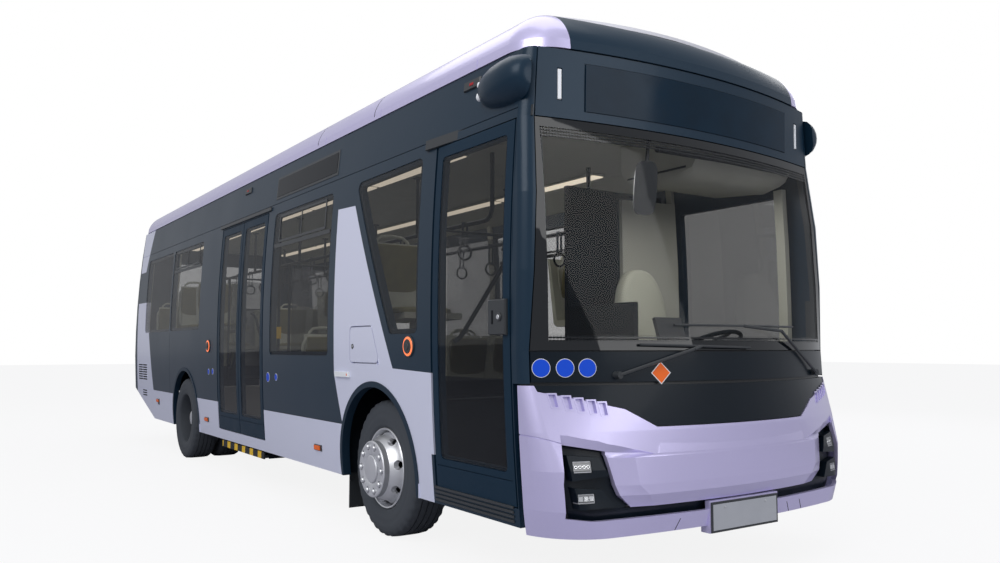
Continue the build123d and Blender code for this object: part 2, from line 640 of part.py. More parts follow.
REAR_MEET_X = (REAR_DOOR[0] + REAR_DOOR[1]) / 2
front_leaf, front_pane = leaf_pieces(FRONT_DOOR[0] + JAMB_GAP, FRONT_DOOR[1] - MEET_GAP, PIVOT_XS["front"])
rear_leaf_b, rear_pane_b = leaf_pieces(REAR_DOOR[0] + JAMB_GAP, REAR_MEET_X - MEET_GAP / 2,
                                       PIVOT_XS["rear_back"])
rear_leaf_f, rear_pane_f = leaf_pieces(REAR_MEET_X + MEET_GAP / 2, REAR_DOOR[1] - JAMB_GAP,
                                       PIVOT_XS["rear_front"])

# ---- ramp cassette below the rear door
RAMP_Z = 262
RAMP_THICK = 26
RAMP_HALF = 600
RAMP_DEPTH = 860
RAMP_TRAVEL = 700
RAMP_EDGE_Y = -1138
ramp = block(REAR_MEET_X - RAMP_HALF, REAR_MEET_X + RAMP_HALF, RAMP_EDGE_Y, RAMP_EDGE_Y + RAMP_DEPTH,
             RAMP_Z, RAMP_Z + RAMP_THICK)
ramp += block(REAR_MEET_X - RAMP_HALF, REAR_MEET_X + RAMP_HALF, RAMP_EDGE_Y, RAMP_EDGE_Y + 12, RAMP_Z - 8,
              SKIRT_Z - 14)

# ================================================================ roof
COVE_CORNER_R = 250
COVE_NOSE_X = 4482
COVE_NOSE_R = 4200
COVE_TAIL = 4598
COVE_TAIL_R = 14000
COVE_HALF = side_y(COVE_Z) + 6
COVE_IN = 205                # how far the cove reaches in from the lip
COVE_TOP_Z = 2990
COVE_LIP = 52
COVE_THICK = 22
COVE_STEP_X = 3838           # joint between the side coves and the front corners
CROWN_SEAM_Y = 905
REAR_CAP_X = -4080


def cove_profile(place):
    """Cross-section of the roof edge; place(inward, height) gives a 3-D point."""
    lip_low = place(0, COVE_Z)
    lip_high = place(6, COVE_Z + COVE_LIP)
    shoulder = place(72, COVE_Z + 168)
    top = place(COVE_IN, COVE_TOP_Z)
    top_in = place(COVE_IN, COVE_TOP_Z - COVE_THICK)
    shoulder_in = place(72 + 18, COVE_Z + 168 - 18)
    lip_in = place(6 + COVE_THICK, COVE_Z + COVE_LIP)
    low_in = place(COVE_THICK, COVE_Z)
    return Face(Wire([
        Edge.make_line(lip_low, lip_high),
        Edge.make_three_point_arc(lip_high, shoulder, top),
        Edge.make_line(top, top_in),
        Edge.make_three_point_arc(top_in, shoulder_in, lip_in),
        Edge.make_line(lip_in, low_in),
        Edge.make_line(low_in, lip_low),
    ]))


def cove_end(reach, end_radius):
    """Roof edge round one end of the body: two corners and the middle."""
    centre_x = reach - end_radius
    corner_y = COVE_HALF - COVE_CORNER_R
    corner_x = centre_x + sqrt((end_radius - COVE_CORNER_R) ** 2 - corner_y ** 2)
    turn = degrees(asin(corner_y / (end_radius - COVE_CORNER_R)))
    side_profile = cove_profile(lambda inward, z: (corner_x, COVE_HALF - inward, z))
    corner = revolve(side_profile, Axis((corner_x, corner_y, 0), (0, 0, -1)), 90 - turn)
    nose_profile = cove_profile(lambda inward, z: (reach - inward, 0, z))
    middle_axis = Axis((centre_x, 0, 0), (0, 0, 1))
    middle = revolve(nose_profile, middle_axis, turn)
    return corner_x, corner, middle


def rounded_cap(reach, end_radius):
    """Complete roof edge of one end, as one ring segment."""
    corner_x, corner, middle = cove_end(reach, end_radius)
    half = corner + middle
    return corner_x, half + mirrored(half)


front_corner_x, front_ring = rounded_cap(COVE_NOSE_X, COVE_NOSE_R)
rear_corner_x, rear_ring = rounded_cap(COVE_TAIL, COVE_TAIL_R)
rear_ring = mirror(rear_ring, about=Plane.YZ)
rear_corner_x = -rear_corner_x


def straight_cove(x0, x1):
    """Left-hand cove between two stations."""
    profile = cove_profile(lambda inward, z: (x0, COVE_HALF - inward, z))
    return extrude(profile, amount=x1 - x0, dir=(1, 0, 0))


side_cove = straight_cove(rear_corner_x, front_corner_x)
seam_xs = [COVE_STEP_X, 2650, 1720, 720, -480, -1700, -2900, REAR_CAP_X]
for seam_x in seam_xs:
    groove = slab(seam_x - SEAM / 2, seam_x + SEAM / 2, COVE_Z - 5, COVE_TOP_Z + 50, -40, 36)
    side_cove -= groove
    side_cove -= block(seam_x - SEAM / 2, seam_x + SEAM / 2, 800, 1100, COVE_Z + 160, COVE_TOP_Z + 20) & \
        block(TAIL_X, NOSE_X, 800, 1100, COVE_TOP_Z - 60, COVE_TOP_Z + 20) - slab(TAIL_X, NOSE_X, COVE_Z,
                COVE_TOP_Z, 500, 10)
corner_band = block(3900, NOSE_X, -CROWN_SEAM_Y - SEAT, CROWN_SEAM_Y + SEAT, COVE_Z - 20, ROOF_TOP_Z)
front_crown = front_ring & block(3900, NOSE_X, -CROWN_SEAM_Y, CROWN_SEAM_Y, COVE_Z - 20, ROOF_TOP_Z)
left_half = block(TAIL_X - 50, NOSE_X, 0, HALF_WIDTH + 50, COVE_Z - 20, ROOF_TOP_Z + 20)
cove_left = side_cove + ((front_ring - corner_band) & left_half) + (rear_ring & left_half)
roof_coves = [cove_left, mirrored(cove_left)]

# ---- roof panel between the coves
ROOF_EDGE_Y = COVE_HALF - COVE_IN - SEAT
ROOF_SKIN = 20


def ring_arc(reach, end_radius, inward, sense):
    """Three edges of the roof's plan outline round one end; sense is +1 in front."""
    big, small, half = end_radius - inward, COVE_CORNER_R - inward, COVE_HALF - inward
    centre_x = reach - end_radius
    corner_y = half - small
    corner_x = centre_x + sqrt((big - small) ** 2 - corner_y ** 2)
    turn = asin(corner_y / (big - small))
    middle = (turn + pi / 2) / 2
    touch = (centre_x + big * cos(turn), big * sin(turn))
    bend = (corner_x + small * cos(middle), corner_y + small * sin(middle))
    points = [(corner_x, -half), (bend[0], -bend[1]), (touch[0], -touch[1]), (reach - inward, 0), touch,
              bend, (corner_x, half)]
    points = [(sense * x, sense * y) for x, y in points]
    return [ThreePointArc(*points[start:start + 3]) for start in (0, 2, 4)], points[0], points[-1]


def roof_plan(inward):
    """Plan outline inside the ring of coves."""
    front, front_low, front_high = ring_arc(COVE_NOSE_X, COVE_NOSE_R, inward, 1)
    rear, rear_high, rear_low = ring_arc(COVE_TAIL, COVE_TAIL_R, inward, -1)
    return make_face(front + [Line(front_high, rear_high)] + rear + [Line(rear_low, front_low)])


def roof_plate(drop, thickness):
    """Arched plate between the coves."""
    edge_y, edge_z = ROOF_EDGE_Y + 20, COVE_TOP_Z - drop
    x0, x1 = TAIL_X, NOSE_X
    outline = Wire([
        Edge.make_three_point_arc((x0, -edge_y, edge_z), (x0, 0, ROOF_TOP_Z - drop), (x0, edge_y, edge_z)),
        Edge.make_line((x0, edge_y, edge_z), (x0, edge_y, edge_z - thickness)),
        Edge.make_three_point_arc((x0, edge_y, edge_z - thickness), (x0, 0, ROOF_TOP_Z - drop - thickness),
                                  (x0, -edge_y, edge_z - thickness)),
        Edge.make_line((x0, -edge_y, edge_z - thickness), (x0, -edge_y, edge_z)),
    ])
    return extrude(Face(outline), amount=x1 - x0, dir=(1, 0, 0))


roof_panel = roof_plate(0, ROOF_SKIN) & extrude(Pos(0, 0, COVE_Z) * roof_plan(COVE_IN + SEAT), amount=400)

# ---- ceiling lining below the roof
CEILING_Z = 2540
CEILING_EDGE_Z = 2420
CEILING_THICK = 30
CEILING_HALF = side_y(CEILING_EDGE_Z + CEILING_THICK, WALL) - SEAT
CEILING_X = (-4350, 4225)
ceiling_outline = [(-CEILING_HALF, CEILING_EDGE_Z), (-820, CEILING_Z), (820, CEILING_Z),
                   (CEILING_HALF, CEILING_EDGE_Z),
                   (CEILING_HALF, CEILING_EDGE_Z + CEILING_THICK), (830, CEILING_Z + CEILING_THICK),
                   (-830, CEILING_Z + CEILING_THICK), (-CEILING_HALF, CEILING_EDGE_Z + CEILING_THICK)]
ceiling_face = Plane.YZ * make_face(Polyline(*ceiling_outline, close=True))
ceiling_lining = extrude(ceiling_face, amount=CEILING_X[1] - CEILING_X[0],
                         dir=(1, 0, 0)).moved(Pos(CEILING_X[0], 0, 0))

# ================================================================ rear wall
rear_end = mirror(rear_skin, about=Plane.YZ)
rear_band = block(TAIL_X - 20, REAR_CORNER_X + 90, -HALF_WIDTH - 10, HALF_WIDTH + 10, SKIRT_Z,
                  COVE_Z - PANEL_GAP)
rear_wall = (rear_end & rear_band) - departure_cut()
REAR_WINDOW = (760, 1750, 2400)          # half width, sill, top
HATCH = (900, 780, 1640)                 # half width, low, high
HATCH_GAP = 14
LOUVRES = (640, 84, 42, 9)                # half width, first above the hatch's edge, pitch, count
LOUVRE_HEIGHT = 20
HATCH_PIN = (-4660, HATCH[2] - 40, 5)    # x, height, radius


def rear_prism(half, z0, z1, radius, grow=0):
    """Prism along X through the rear wall."""
    shape = RectangleRounded(2 * (half + grow), z1 - z0 + 2 * grow, radius + grow)
    face = Plane(origin=(TAIL_X - 60, 0, (z0 + z1) / 2), x_dir=(0, 1, 0), z_dir=(1, 0, 0)) * shape
    return extrude(face, amount=300, dir=(1, 0, 0))


rear_glass_skin = mirror(end_shell(REAR_SECTIONS, GLASS_INSET, GLASS), about=Plane.YZ)
rear_rebate = mirror(end_shell(REAR_SECTIONS, -10, 10 + GLASS_INSET + GLASS + SEAT), about=Plane.YZ)
rear_pane = rear_glass_skin & rear_prism(*REAR_WINDOW, 60)
rear_wall -= rear_rebate & rear_prism(*REAR_WINDOW, 60, 3)
rear_wall -= rear_prism(*REAR_WINDOW, 60, -WINDOW_BORDER)
rear_wall -= rear_prism(*HATCH, 40, HATCH_GAP)
rear_hatch = rear_end & rear_prism(*HATCH, 40)
hatch_pin_y = HATCH[0] + HATCH_GAP + 12
for side in (-1, 1):
    pin_start, pin_end = (HATCH_PIN[0], side * (HATCH[0] - 4), HATCH_PIN[1]), (HATCH_PIN[0],
            side * hatch_pin_y, HATCH_PIN[1])
    bore_end = (HATCH_PIN[0], side * (hatch_pin_y + 1), HATCH_PIN[1])
    rear_hatch += rod(pin_start, pin_end, HATCH_PIN[2])
    rear_wall -= rod(pin_start, bore_end, HATCH_PIN[2] + SEAT)
for step in range(LOUVRES[3]):
    z = HATCH[1] + LOUVRES[1] + step * LOUVRES[2]
    rear_hatch -= block(TAIL_X - 20, TAIL_X + 100, -LOUVRES[0], LOUVRES[0], z, z + LOUVRE_HEIGHT)
for side in (-1, 1):
    lamp_zone = block(TAIL_X - 20, TAIL_X + 120, side * 985, side * 1085, 900, 1400)
    lamp_units.append((rear_end & lamp_zone))
    rear_wall -= block(TAIL_X - 20, TAIL_X + 120, side * (985 - SEAT), side * (1085 + SEAT), 900 - SEAT,
                       1400 + SEAT)

right_panes = [mirrored(pane) for pane in glass_panes(RIGHT_WINDOWS)]
window_glass = glass_panes(LEFT_WINDOWS) + right_panes + [rear_pane]

# ================================================================ floor and frame
DRIVER_DECK_Z = 600          # raised floor under the driver
low_deck = block(PLATFORM_X, 4230, -DECK_HALF, DECK_HALF, FLOOR_Z - DECK, FLOOR_Z)
platform = block(REAR_CORNER_X + 100, PLATFORM_X, -PLATFORM_HALF, PLATFORM_HALF, PLATFORM_Z - DECK,
                 PLATFORM_Z)
riser = block(PLATFORM_X - DECK, PLATFORM_X, -DECK_HALF, DECK_HALF, FLOOR_Z - DECK, PLATFORM_Z)
step_tread = block(PLATFORM_X, PLATFORM_X + 300, -420, 420, FLOOR_Z, FLOOR_Z + 207)
driver_deck = block(FRONT_AXLE_X + BOX_HALF, 4150, 100, DECK_HALF - 10, FLOOR_Z, DRIVER_DECK_Z)
floor_deck = low_deck + platform + riser + step_tread + driver_deck


def wheel_box(axle_x, inner_y, base_z):
    """Outer form of the box over a left wheel."""
    reach = BOX_HALF + WHEELBOX_WALL
    return block(axle_x - reach, axle_x + reach, inner_y - WHEELBOX_WALL, DECK_HALF, base_z,
                 BOX_TOP_Z + WHEELBOX_WALL)


wheel_boxes = []
for axle_x, inner_y, base_z in ((FRONT_AXLE_X, FRONT_BOX_Y, FLOOR_Z - DECK),
                                (REAR_AXLE_X, REAR_BOX_Y, PLATFORM_Z - DECK)):
    reach = BOX_HALF + WHEELBOX_WALL + SEAT
    well = block(axle_x - reach, axle_x + reach, inner_y - WHEELBOX_WALL - SEAT, HALF_WIDTH, base_z - SEAT,
                 BOX_TOP_Z)
    floor_deck = floor_deck - well - mirrored(well)
    hollow = block(axle_x - BOX_HALF, axle_x + BOX_HALF, inner_y, HALF_WIDTH, base_z - 10, BOX_TOP_Z)
    box = wheel_box(axle_x, inner_y, base_z) - hollow
    wheel_boxes += [box, mirrored(box)]

RAIL_Y = 440
RAIL = (60, 80)
RAIL_Z = FLOOR_Z - DECK - RAIL[1]
POST_X = PLATFORM_X - DECK - RAIL[0]     # post between the low and the high rails
HIGH_RAIL_Z = PLATFORM_Z - DECK - 120
LOW_BEARERS = (4180, 3500, 1500, 700, -800)       # stations of the cross bearers
HIGH_BEARERS = (-1360, -3000, -4300)
LOW_BEARER_Y = 800
JACK_PADS = [(LOW_BEARERS[1], RAIL_Z), (HIGH_BEARERS[1], HIGH_RAIL_Z)]
PAD_DROP = 20
frame_pieces = []
for side in (-1, 1):
    y0, y1 = side * RAIL_Y, side * (RAIL_Y + RAIL[0])
    frame_pieces.append(block(POST_X, 4300, y0, y1, RAIL_Z, RAIL_Z + RAIL[1]))
    frame_pieces.append(block(POST_X, POST_X + RAIL[0], y0, y1, RAIL_Z, PLATFORM_Z - DECK))
    frame_pieces.append(block(TAIL_X + 150, POST_X, y0, y1, HIGH_RAIL_Z, PLATFORM_Z - DECK))
for cross_x in LOW_BEARERS:
    frame_pieces.append(block(cross_x - 40, cross_x + 40, -LOW_BEARER_Y, LOW_BEARER_Y, RAIL_Z + 30,
                              RAIL_Z + RAIL[1]))
for cross_x in HIGH_BEARERS:
    frame_pieces.append(block(cross_x - 40, cross_x + 40, -BEARER_HALF, BEARER_HALF,
                              PLATFORM_Z - DECK - 60, PLATFORM_Z - DECK))
for pad_x, pad_z in JACK_PADS:
    for side in (-1, 1):
        y0, y1 = side * (RAIL_Y + 5), side * (RAIL_Y + RAIL[0] - 5)
        frame_pieces.append(block(pad_x - 60, pad_x + 60, y0, y1, pad_z - PAD_DROP, pad_z))
chassis_frame = parts_of(*frame_pieces)
RAMP_SLOT = 6
RUNNER = 18
ramp_x0, ramp_x1 = REAR_MEET_X - RAMP_HALF, REAR_MEET_X + RAMP_HALF
runner_top = RAIL_Z + RAIL[1]
chassis_frame += block(ramp_x0 - RUNNER, ramp_x1 + RUNNER, -BEARER_HALF, -RAIL_Y, RAMP_Z - 5, runner_top)
chassis_frame -= block(ramp_x0 - SEAT, ramp_x1 + SEAT, -BEARER_HALF - 50, -240, RAMP_Z - RAMP_SLOT,
                       RAMP_Z + RAMP_THICK + RAMP_SLOT)

# ================================================================ running gear


def spun(points, axle_x, mid_y, side):
    """Faceted ring about an axle; points are (offset outwards, radius)."""
    return Pos(axle_x, side * mid_y, TYRE_R) * Rot(-90 * side, 0, 0) * faceted_ring(points)


HALF_TYRE = TYRE_WIDTH / 2
TYRE_OUTLINE = [
    # offset outwards, radius
    (-HALF_TYRE + 26, RIM_R + SEAT), (-HALF_TYRE + 3, 312), (-HALF_TYRE + 5, 392), (-HALF_TYRE + 28,
            TYRE_R - 6),
    (-HALF_TYRE + 70, TYRE_R), (HALF_TYRE - 70, TYRE_R), (HALF_TYRE - 28, TYRE_R - 6), (HALF_TYRE - 5, 392),
    (HALF_TYRE - 3, 312), (HALF_TYRE - 26, RIM_R + SEAT),
]
RIM_HALF = HALF_TYRE - 26


def tyre(axle_x, mid_y, side):
    """One tyre."""
    return spun(TYRE_OUTLINE, axle_x, mid_y, side)


HAND_HOLE = [(30, 0), (17, 14), (-17, 14), (-30, 0), (-17, -14), (17, -14)]    # along the rim, across it
HAND_HOLE_R = 208


def rim(axle_x, mid_y, side, disc_out, dish):
    """One rim: barrel, sloping disc at disc_out, and hub face at disc_out + dish."""
    foot, face = disc_out, disc_out + dish
    wall = 12 if dish > 0 else -12
    inner_r = RIM_SEAT_R - 12
    body = spun([(-RIM_HALF, RIM_R), (-RIM_HALF, inner_r), (foot - 12, inner_r),
                 (face - 14, HUB_FACE_R - wall),
                 (face - 14, HUB_BORE_R - 4), (face, HUB_BORE_R - 4), (face, HUB_FACE_R), (foot, inner_r),
                 (RIM_HALF, inner_r), (RIM_HALF, RIM_R)][::-1], axle_x, mid_y, side)
    bore = Cylinder(HUB_BORE_R, 4 * TYRE_WIDTH)
    hole = extrude(make_face(Polyline(*HAND_HOLE, close=True)), amount=200, both=True)
    holes = [Rot(0, 0, count * 360 / HAND_HOLES) * Pos(0, HAND_HOLE_R,
                                                       0) * hole for count in range(HAND_HOLES)]
    return body - Pos(axle_x, side * mid_y, TYRE_R) * Rot(90, 0, 0) * parts_of(bore, *holes)


FRONT_HUB_FACE = 1196        # hub face of the front wheels, from the centre
wheels = {}
for side, name in ((1, "left"), (-1, "right")):
    wheels["tyre_front_" + name] = tyre(FRONT_AXLE_X, FRONT_TYRE_MID, side)
    disc_out = RIM_HALF - 60
    wheels["rim_front_" + name] = rim(FRONT_AXLE_X, FRONT_TYRE_MID, side, disc_out,
                                      FRONT_HUB_FACE - FRONT_TYRE_MID - disc_out)
    outer_tyre = tyre(REAR_AXLE_X, REAR_TYRE_MID, side)
    inner_tyre = tyre(REAR_AXLE_X, REAR_TWIN_MID, side)
    wheels["tyres_rear_" + name] = [outer_tyre, inner_tyre]
    outer_rim = rim(REAR_AXLE_X, REAR_TYRE_MID, side, -RIM_HALF + 70, -75)
    inner_face = REAR_TYRE_MID - RIM_HALF - 5 - 14 - SEAT - REAR_TWIN_MID
    inner_rim = rim(REAR_AXLE_X, REAR_TWIN_MID, side, RIM_HALF - 40, inner_face - RIM_HALF + 40)
    wheels["rims_rear_" + name] = [outer_rim, inner_rim]

# ---- knuckles, front beam, rear axle
BEAM_Z = 205
BEAM_HALF_Z = 42
KINGPIN_R = 18
LUG_Z = 105                  # king pin lugs above and below the axle line
knuckles = {}
for side, name in ((1, "left"), (-1, "right")):
    pin_y = side * KINGPIN_Y
    post = Pos(FRONT_AXLE_X, pin_y, TYRE_R) * Cylinder(46, 150)
    post += Pos(FRONT_AXLE_X, pin_y, TYRE_R) * Cylinder(KINGPIN_R, 2 * LUG_Z + 50)
    stub = rod((FRONT_AXLE_X, pin_y, TYRE_R), (FRONT_AXLE_X, side * (FRONT_HUB_FACE + 4), TYRE_R),
               HUB_BORE_R - 0.5)
    knuckles["knuckle_" + name] = post + stub
front_axle = block(FRONT_AXLE_X - 45, FRONT_AXLE_X + 45, -560, 560, BEAM_Z - BEAM_HALF_Z,
                   BEAM_Z + BEAM_HALF_Z)
for side in (-1, 1):
    pin_y = side * KINGPIN_Y
    riser_face = [(side * 560, BEAM_Z - BEAM_HALF_Z), (side * 560, BEAM_Z + BEAM_HALF_Z),
                  (side * 780, TYRE_R + 40),
                  (side * 800, TYRE_R + 40), (side * 800, TYRE_R - 60)]
    web = Plane.YZ * make_face(Polyline(*riser_face, close=True))
    front_axle += extrude(web, amount=40, both=True).moved(Pos(FRONT_AXLE_X, 0, 0))
    front_axle += block(FRONT_AXLE_X - 40, FRONT_AXLE_X + 40, side * 780, side * 835, TYRE_R - 130,
                        TYRE_R + 130)
    for lug_z in (TYRE_R + LUG_Z, TYRE_R - LUG_Z):
        front_axle += block(FRONT_AXLE_X - 40, FRONT_AXLE_X + 40, side * 800, side * KINGPIN_Y, lug_z - 25,
                            lug_z + 25)
        front_axle += Pos(FRONT_AXLE_X, pin_y, lug_z) * Cylinder(46, 50)
    front_axle += block(FRONT_AXLE_X - 60, FRONT_AXLE_X + 60, side * RAIL_Y, side * (RAIL_Y + RAIL[0]),
                        BEAM_Z + BEAM_HALF_Z, RAIL_Z)
    front_axle -= Pos(FRONT_AXLE_X, pin_y, TYRE_R) * Cylinder(KINGPIN_R + SEAT, 2 * LUG_Z + 60)

REAR_HOUSING_R = 95
rear_axle = rod((REAR_AXLE_X, -590, TYRE_R), (REAR_AXLE_X, 590, TYRE_R), REAR_HOUSING_R)
rear_axle += rod((REAR_AXLE_X, -REAR_TYRE_FACE + 90, TYRE_R), (REAR_AXLE_X, REAR_TYRE_FACE - 90, TYRE_R),
                 HUB_BORE_R - 0.5)
rear_axle += Pos(REAR_AXLE_X, 0, TYRE_R) * Rot(90, 0, 0) * Cylinder(190, 260)
for side in (-1, 1):
    rear_axle += block(REAR_AXLE_X - 60, REAR_AXLE_X + 60, side * RAIL_Y, side * (RAIL_Y + RAIL[0]),
                       TYRE_R, PLATFORM_Z - DECK - 120)

drive_motor = block(-3250, -2600, -330, 330, 330, PLATFORM_Z - DECK - 60)
battery_packs = block(-4400, -3950, -950, 950, PLATFORM_Z, 1720)

# ================================================================ interior
dashboard_face = [(4150, FLOOR_Z), (4150, 900), (4230, 1090), (4420, 1150), (4470, 1150),
                  (4470, FLOOR_Z + 300), (4300, FLOOR_Z)]
dash_profile = Plane.XZ * make_face(Polyline(*dashboard_face, close=True))
dashboard = extrude(dash_profile, amount=980, dir=(0, 1, 0)).moved(Pos(0, 60, 0))
dashboard &= end_volume(LOW_ROWS, HOUSING_BACK + 5)

WHEEL_CENTRE = (3960, 560, 1215)
STEER_TILT = 25
wheel_frame = Plane(origin=WHEEL_CENTRE, z_dir=(-sin(radians(STEER_TILT)), 0, cos(radians(STEER_TILT))))
RING_SECTION = [(0, 229), (12, 222), (12, 208), (0, 201), (-12, 208), (-12, 222)]
steering_wheel = wheel_frame.location * faceted_ring(RING_SECTION, 24)
steering_wheel += wheel_frame.location * Cylinder(55, 30)
for spoke in (0, 120, 240):
    steering_wheel += wheel_frame.location * Rot(0, 0, spoke) * Pos(130, 0, 0) * Box(160, 30, 14)
column_top = (WHEEL_CENTRE[0] + 15.3 * sin(radians(STEER_TILT)), WHEEL_CENTRE[1],
              WHEEL_CENTRE[2] - 15.3 * cos(radians(STEER_TILT)))
column_low = (WHEEL_CENTRE[0] + 520 * sin(radians(STEER_TILT)), WHEEL_CENTRE[1],
              WHEEL_CENTRE[2] - 520 * cos(radians(STEER_TILT)))
dashboard += rod(column_top, column_low, 34)

DRIVER_X = 3560
driver_seat = block(DRIVER_X - 160, DRIVER_X + 160, 400, 720, DRIVER_DECK_Z, DRIVER_DECK_Z + 330)
driver_seat += block(DRIVER_X - 240, DRIVER_X + 260, 310, 810, DRIVER_DECK_Z + 330, DRIVER_DECK_Z + 440)
back_outline = [(DRIVER_X - 240, DRIVER_DECK_Z + 400), (DRIVER_X - 130, DRIVER_DECK_Z + 450),
                (DRIVER_X - 230, DRIVER_DECK_Z + 1180), (DRIVER_X - 310, DRIVER_DECK_Z + 1180)]
back_face = Plane.XZ * make_face(Polyline(*back_outline, close=True))
driver_seat += extrude(back_face, amount=460, dir=(0, 1, 0)).moved(Pos(0, 330, 0))

PARTITION_X = 3010
partition = block(PARTITION_X, PARTITION_X + 40, 150, 1080, BOX_TOP_Z + WHEELBOX_WALL, 2360)
partition += block(PARTITION_X, PARTITION_X + 700, 150, 190, BOX_TOP_Z + WHEELBOX_WALL, 1500)
driver_partition = partition

# ---- passenger seats: rows on the deck, the wheel boxes and the platform
BOX_SEAT_Z = BOX_TOP_Z + WHEELBOX_WALL
SEAT_ROWS = [
    # x of the seat front, side, floor height, seats across
    (2900, -1, BOX_SEAT_Z, 1), (2700, 1, BOX_SEAT_Z, 1), (1700, 1, FLOOR_Z, 2), (900, 1, FLOOR_Z,
            2), (1700, -1, FLOOR_Z, 2),
    (-1480, 1, BOX_SEAT_Z, 1), (-1480, -1, BOX_SEAT_Z, 1), (-2240, 1, BOX_SEAT_Z, 1), (-2240, -1,
            BOX_SEAT_Z, 1),
    (-2660, 1, PLATFORM_Z, 2), (-2660, -1, PLATFORM_Z, 2), (-3360, 1, PLATFORM_Z, 2), (-3360, -1,
            PLATFORM_Z, 2),
]
SEAT_WIDTH = 430


def seat(front_x, centre_y, floor_z):
    """One shell seat on a pedestal, facing forwards."""
    base_z = floor_z + 430
    outline = [(front_x, base_z), (front_x, base_z - 40), (front_x - 400, base_z - 60),
               (front_x - 440, base_z - 40),
               (front_x - 520, base_z + 500), (front_x - 490, base_z + 500), (front_x - 400, base_z - 10)]
    face = Plane.XZ * make_face(Polyline(*outline, close=True))
    shell = extrude(face, amount=SEAT_WIDTH, dir=(0, 1, 0)).moved(Pos(0, centre_y - SEAT_WIDTH / 2, 0))
    foot = block(front_x - 260, front_x - 180, centre_y - 40, centre_y + 40, floor_z, base_z - 45)
    return shell + foot


seats = []
for front_x, side, floor_z, across in SEAT_ROWS:
    for place_index in range(across):
        centre_y = side * (DECK_HALF - 245 - place_index * 460)
        seats.append(seat(front_x, centre_y, floor_z))

# ---- grab rails: two ceiling rails on hangers, poles and strap handles
RAIL_R = 16
CEILING_RAIL_Y = 430
CEILING_RAIL_Z = 2080
rails = []
for side in (-1, 1):
    y = side * CEILING_RAIL_Y
    rail = chain([(2950, y, CEILING_Z), (2950, y, CEILING_RAIL_Z + 90), (2860, y, CEILING_RAIL_Z),
                  (-3310, y, CEILING_RAIL_Z),
                  (-3400, y, CEILING_RAIL_Z + 90), (-3400, y, CEILING_Z)], RAIL_R)
    for hanger_x in (1900, 700, -600, -2000):
        rail += bar((hanger_x, y, CEILING_RAIL_Z), (hanger_x, y, CEILING_Z), RAIL_R)
    rails.append(rail)
for pole_x, pole_y in ((3380, -560), (850, -560), (-820, -560)):
    rails.append(bar((pole_x, pole_y, FLOOR_Z), (pole_x, pole_y, CEILING_Z), RAIL_R, 8))

# ================================================================ fittings outside
WIPERS = [
    # (y, z) of the pivot, the knee, and the blade's two ends
    ((-767, 1072), (-354, 1199), (-642, 1222), (84, 1207)),
    ((840, 1060), (372, 1300), (-434, 1322), (559, 1326)),
]
BLADE_STEPS = 4
ARM_R = 9


def off_front(place, lift):
    """Point in front of the front surface at a (y, z) place."""
    y, z = place
    return (front_station(y, z, -lift), y, z)


wipers = []
clear_of_nose = end_volume(LOW_ROWS, -SEAT)
for pivot, knee, blade_a, blade_b in WIPERS:
    steps = [n / BLADE_STEPS for n in range(BLADE_STEPS + 1)]
    blade = [off_front((blade_a[0] + n * (blade_b[0] - blade_a[0]),
                        blade_a[1] + n * (blade_b[1] - blade_a[1])), 14) for n in steps]
    hub_x = front_station(*pivot)
    hub = rod((hub_x - 60, *pivot), (hub_x + 34, *pivot), 18) - clear_of_nose
    arm = chain([off_front(pivot, 26), off_front(knee, 42), blade[BLADE_STEPS // 2]], ARM_R)
    wipers.append(hub + (arm - clear_of_nose) + chain(blade, ARM_R - 2))

# ---- camera pods in place of mirrors
POD_CENTRE = (1120, 2580)    # y, z of the pods' long axis
POD_SECTION = [
    # station, radius
    (3907, 4), (3907, 14), (3955, 82), (4080, 122), (4230, 130), (4330, 106), (4362, 56), (4362, 4),
]
pod = Pos(0, *POD_CENTRE) * Rot(0, 90, 0) * faceted_ring(POD_SECTION[::-1], 20)
pod -= slab(POD_SECTION[0][0] - 10, POD_SECTION[-1][0] + 10, 2400, 2740, -SEAT, 300)
pods = [pod, mirrored(pod)]

FLAP_EDGE = 30               # from the tyre's outer face to the mud flap's edge
flaps = []
for axle_x, face_y, hang_z in ((FRONT_AXLE_X, FRONT_TYRE_FACE, FLOOR_Z - DECK),
                               (REAR_AXLE_X, DECK_HALF, PLATFORM_Z - DECK)):
    back_x = axle_x - BOX_HALF - WHEELBOX_WALL
    flap = block(back_x, back_x + 8, face_y - 300, face_y - FLAP_EDGE, 90, hang_z - SEAT)
    flaps += [flap, mirrored(flap)]

# ================================================================ export
NODES = {
    "chassis_frame": chassis_frame,
    "floor_deck": floor_deck,
    "wheel_boxes": wheel_boxes,
    "side_wall_right": right_wall,
    "side_wall_left": left_wall,
    "window_glass": window_glass,
    "roof_panel": roof_panel,
    "roof_coves": roof_coves,
    "front_crown": front_crown,
    "front_header": header,
    "windscreen": windscreen,
    "belt_panel": belt_panel,
    "front_frame": front_frame,
    "bumper": bumper,
    "bumper_inlays": bumper_inlays,
    "lamps": lamp_units,
    "rear_wall": rear_wall,
    "rear_hatch": rear_hatch,
    "dashboard": dashboard,
    "steering_wheel": steering_wheel,
    "driver_seat": driver_seat,
    "driver_partition": driver_partition,
    "passenger_seats": seats,
    "grab_rails": rails,
    "ceiling_lining": ceiling_lining,
    "wipers": wipers,
    "mirror_pods": pods,
    "mud_flaps": flaps,
    "battery_packs": battery_packs,
    "drive_motor": drive_motor,
    "front_axle": front_axle,
    "rear_axle": rear_axle,
    **knuckles,
    **wheels,
    "door_front_leaf": front_leaf,
    "door_front_glass": front_pane,
    "door_rear_leaf_front": rear_leaf_f,
    "door_rear_glass_front": rear_pane_f,
    "door_rear_leaf_back": rear_leaf_b,
    "door_rear_glass_back": rear_pane_b,
    "charge_flap": charge_flap,
    "ramp": ramp,
}

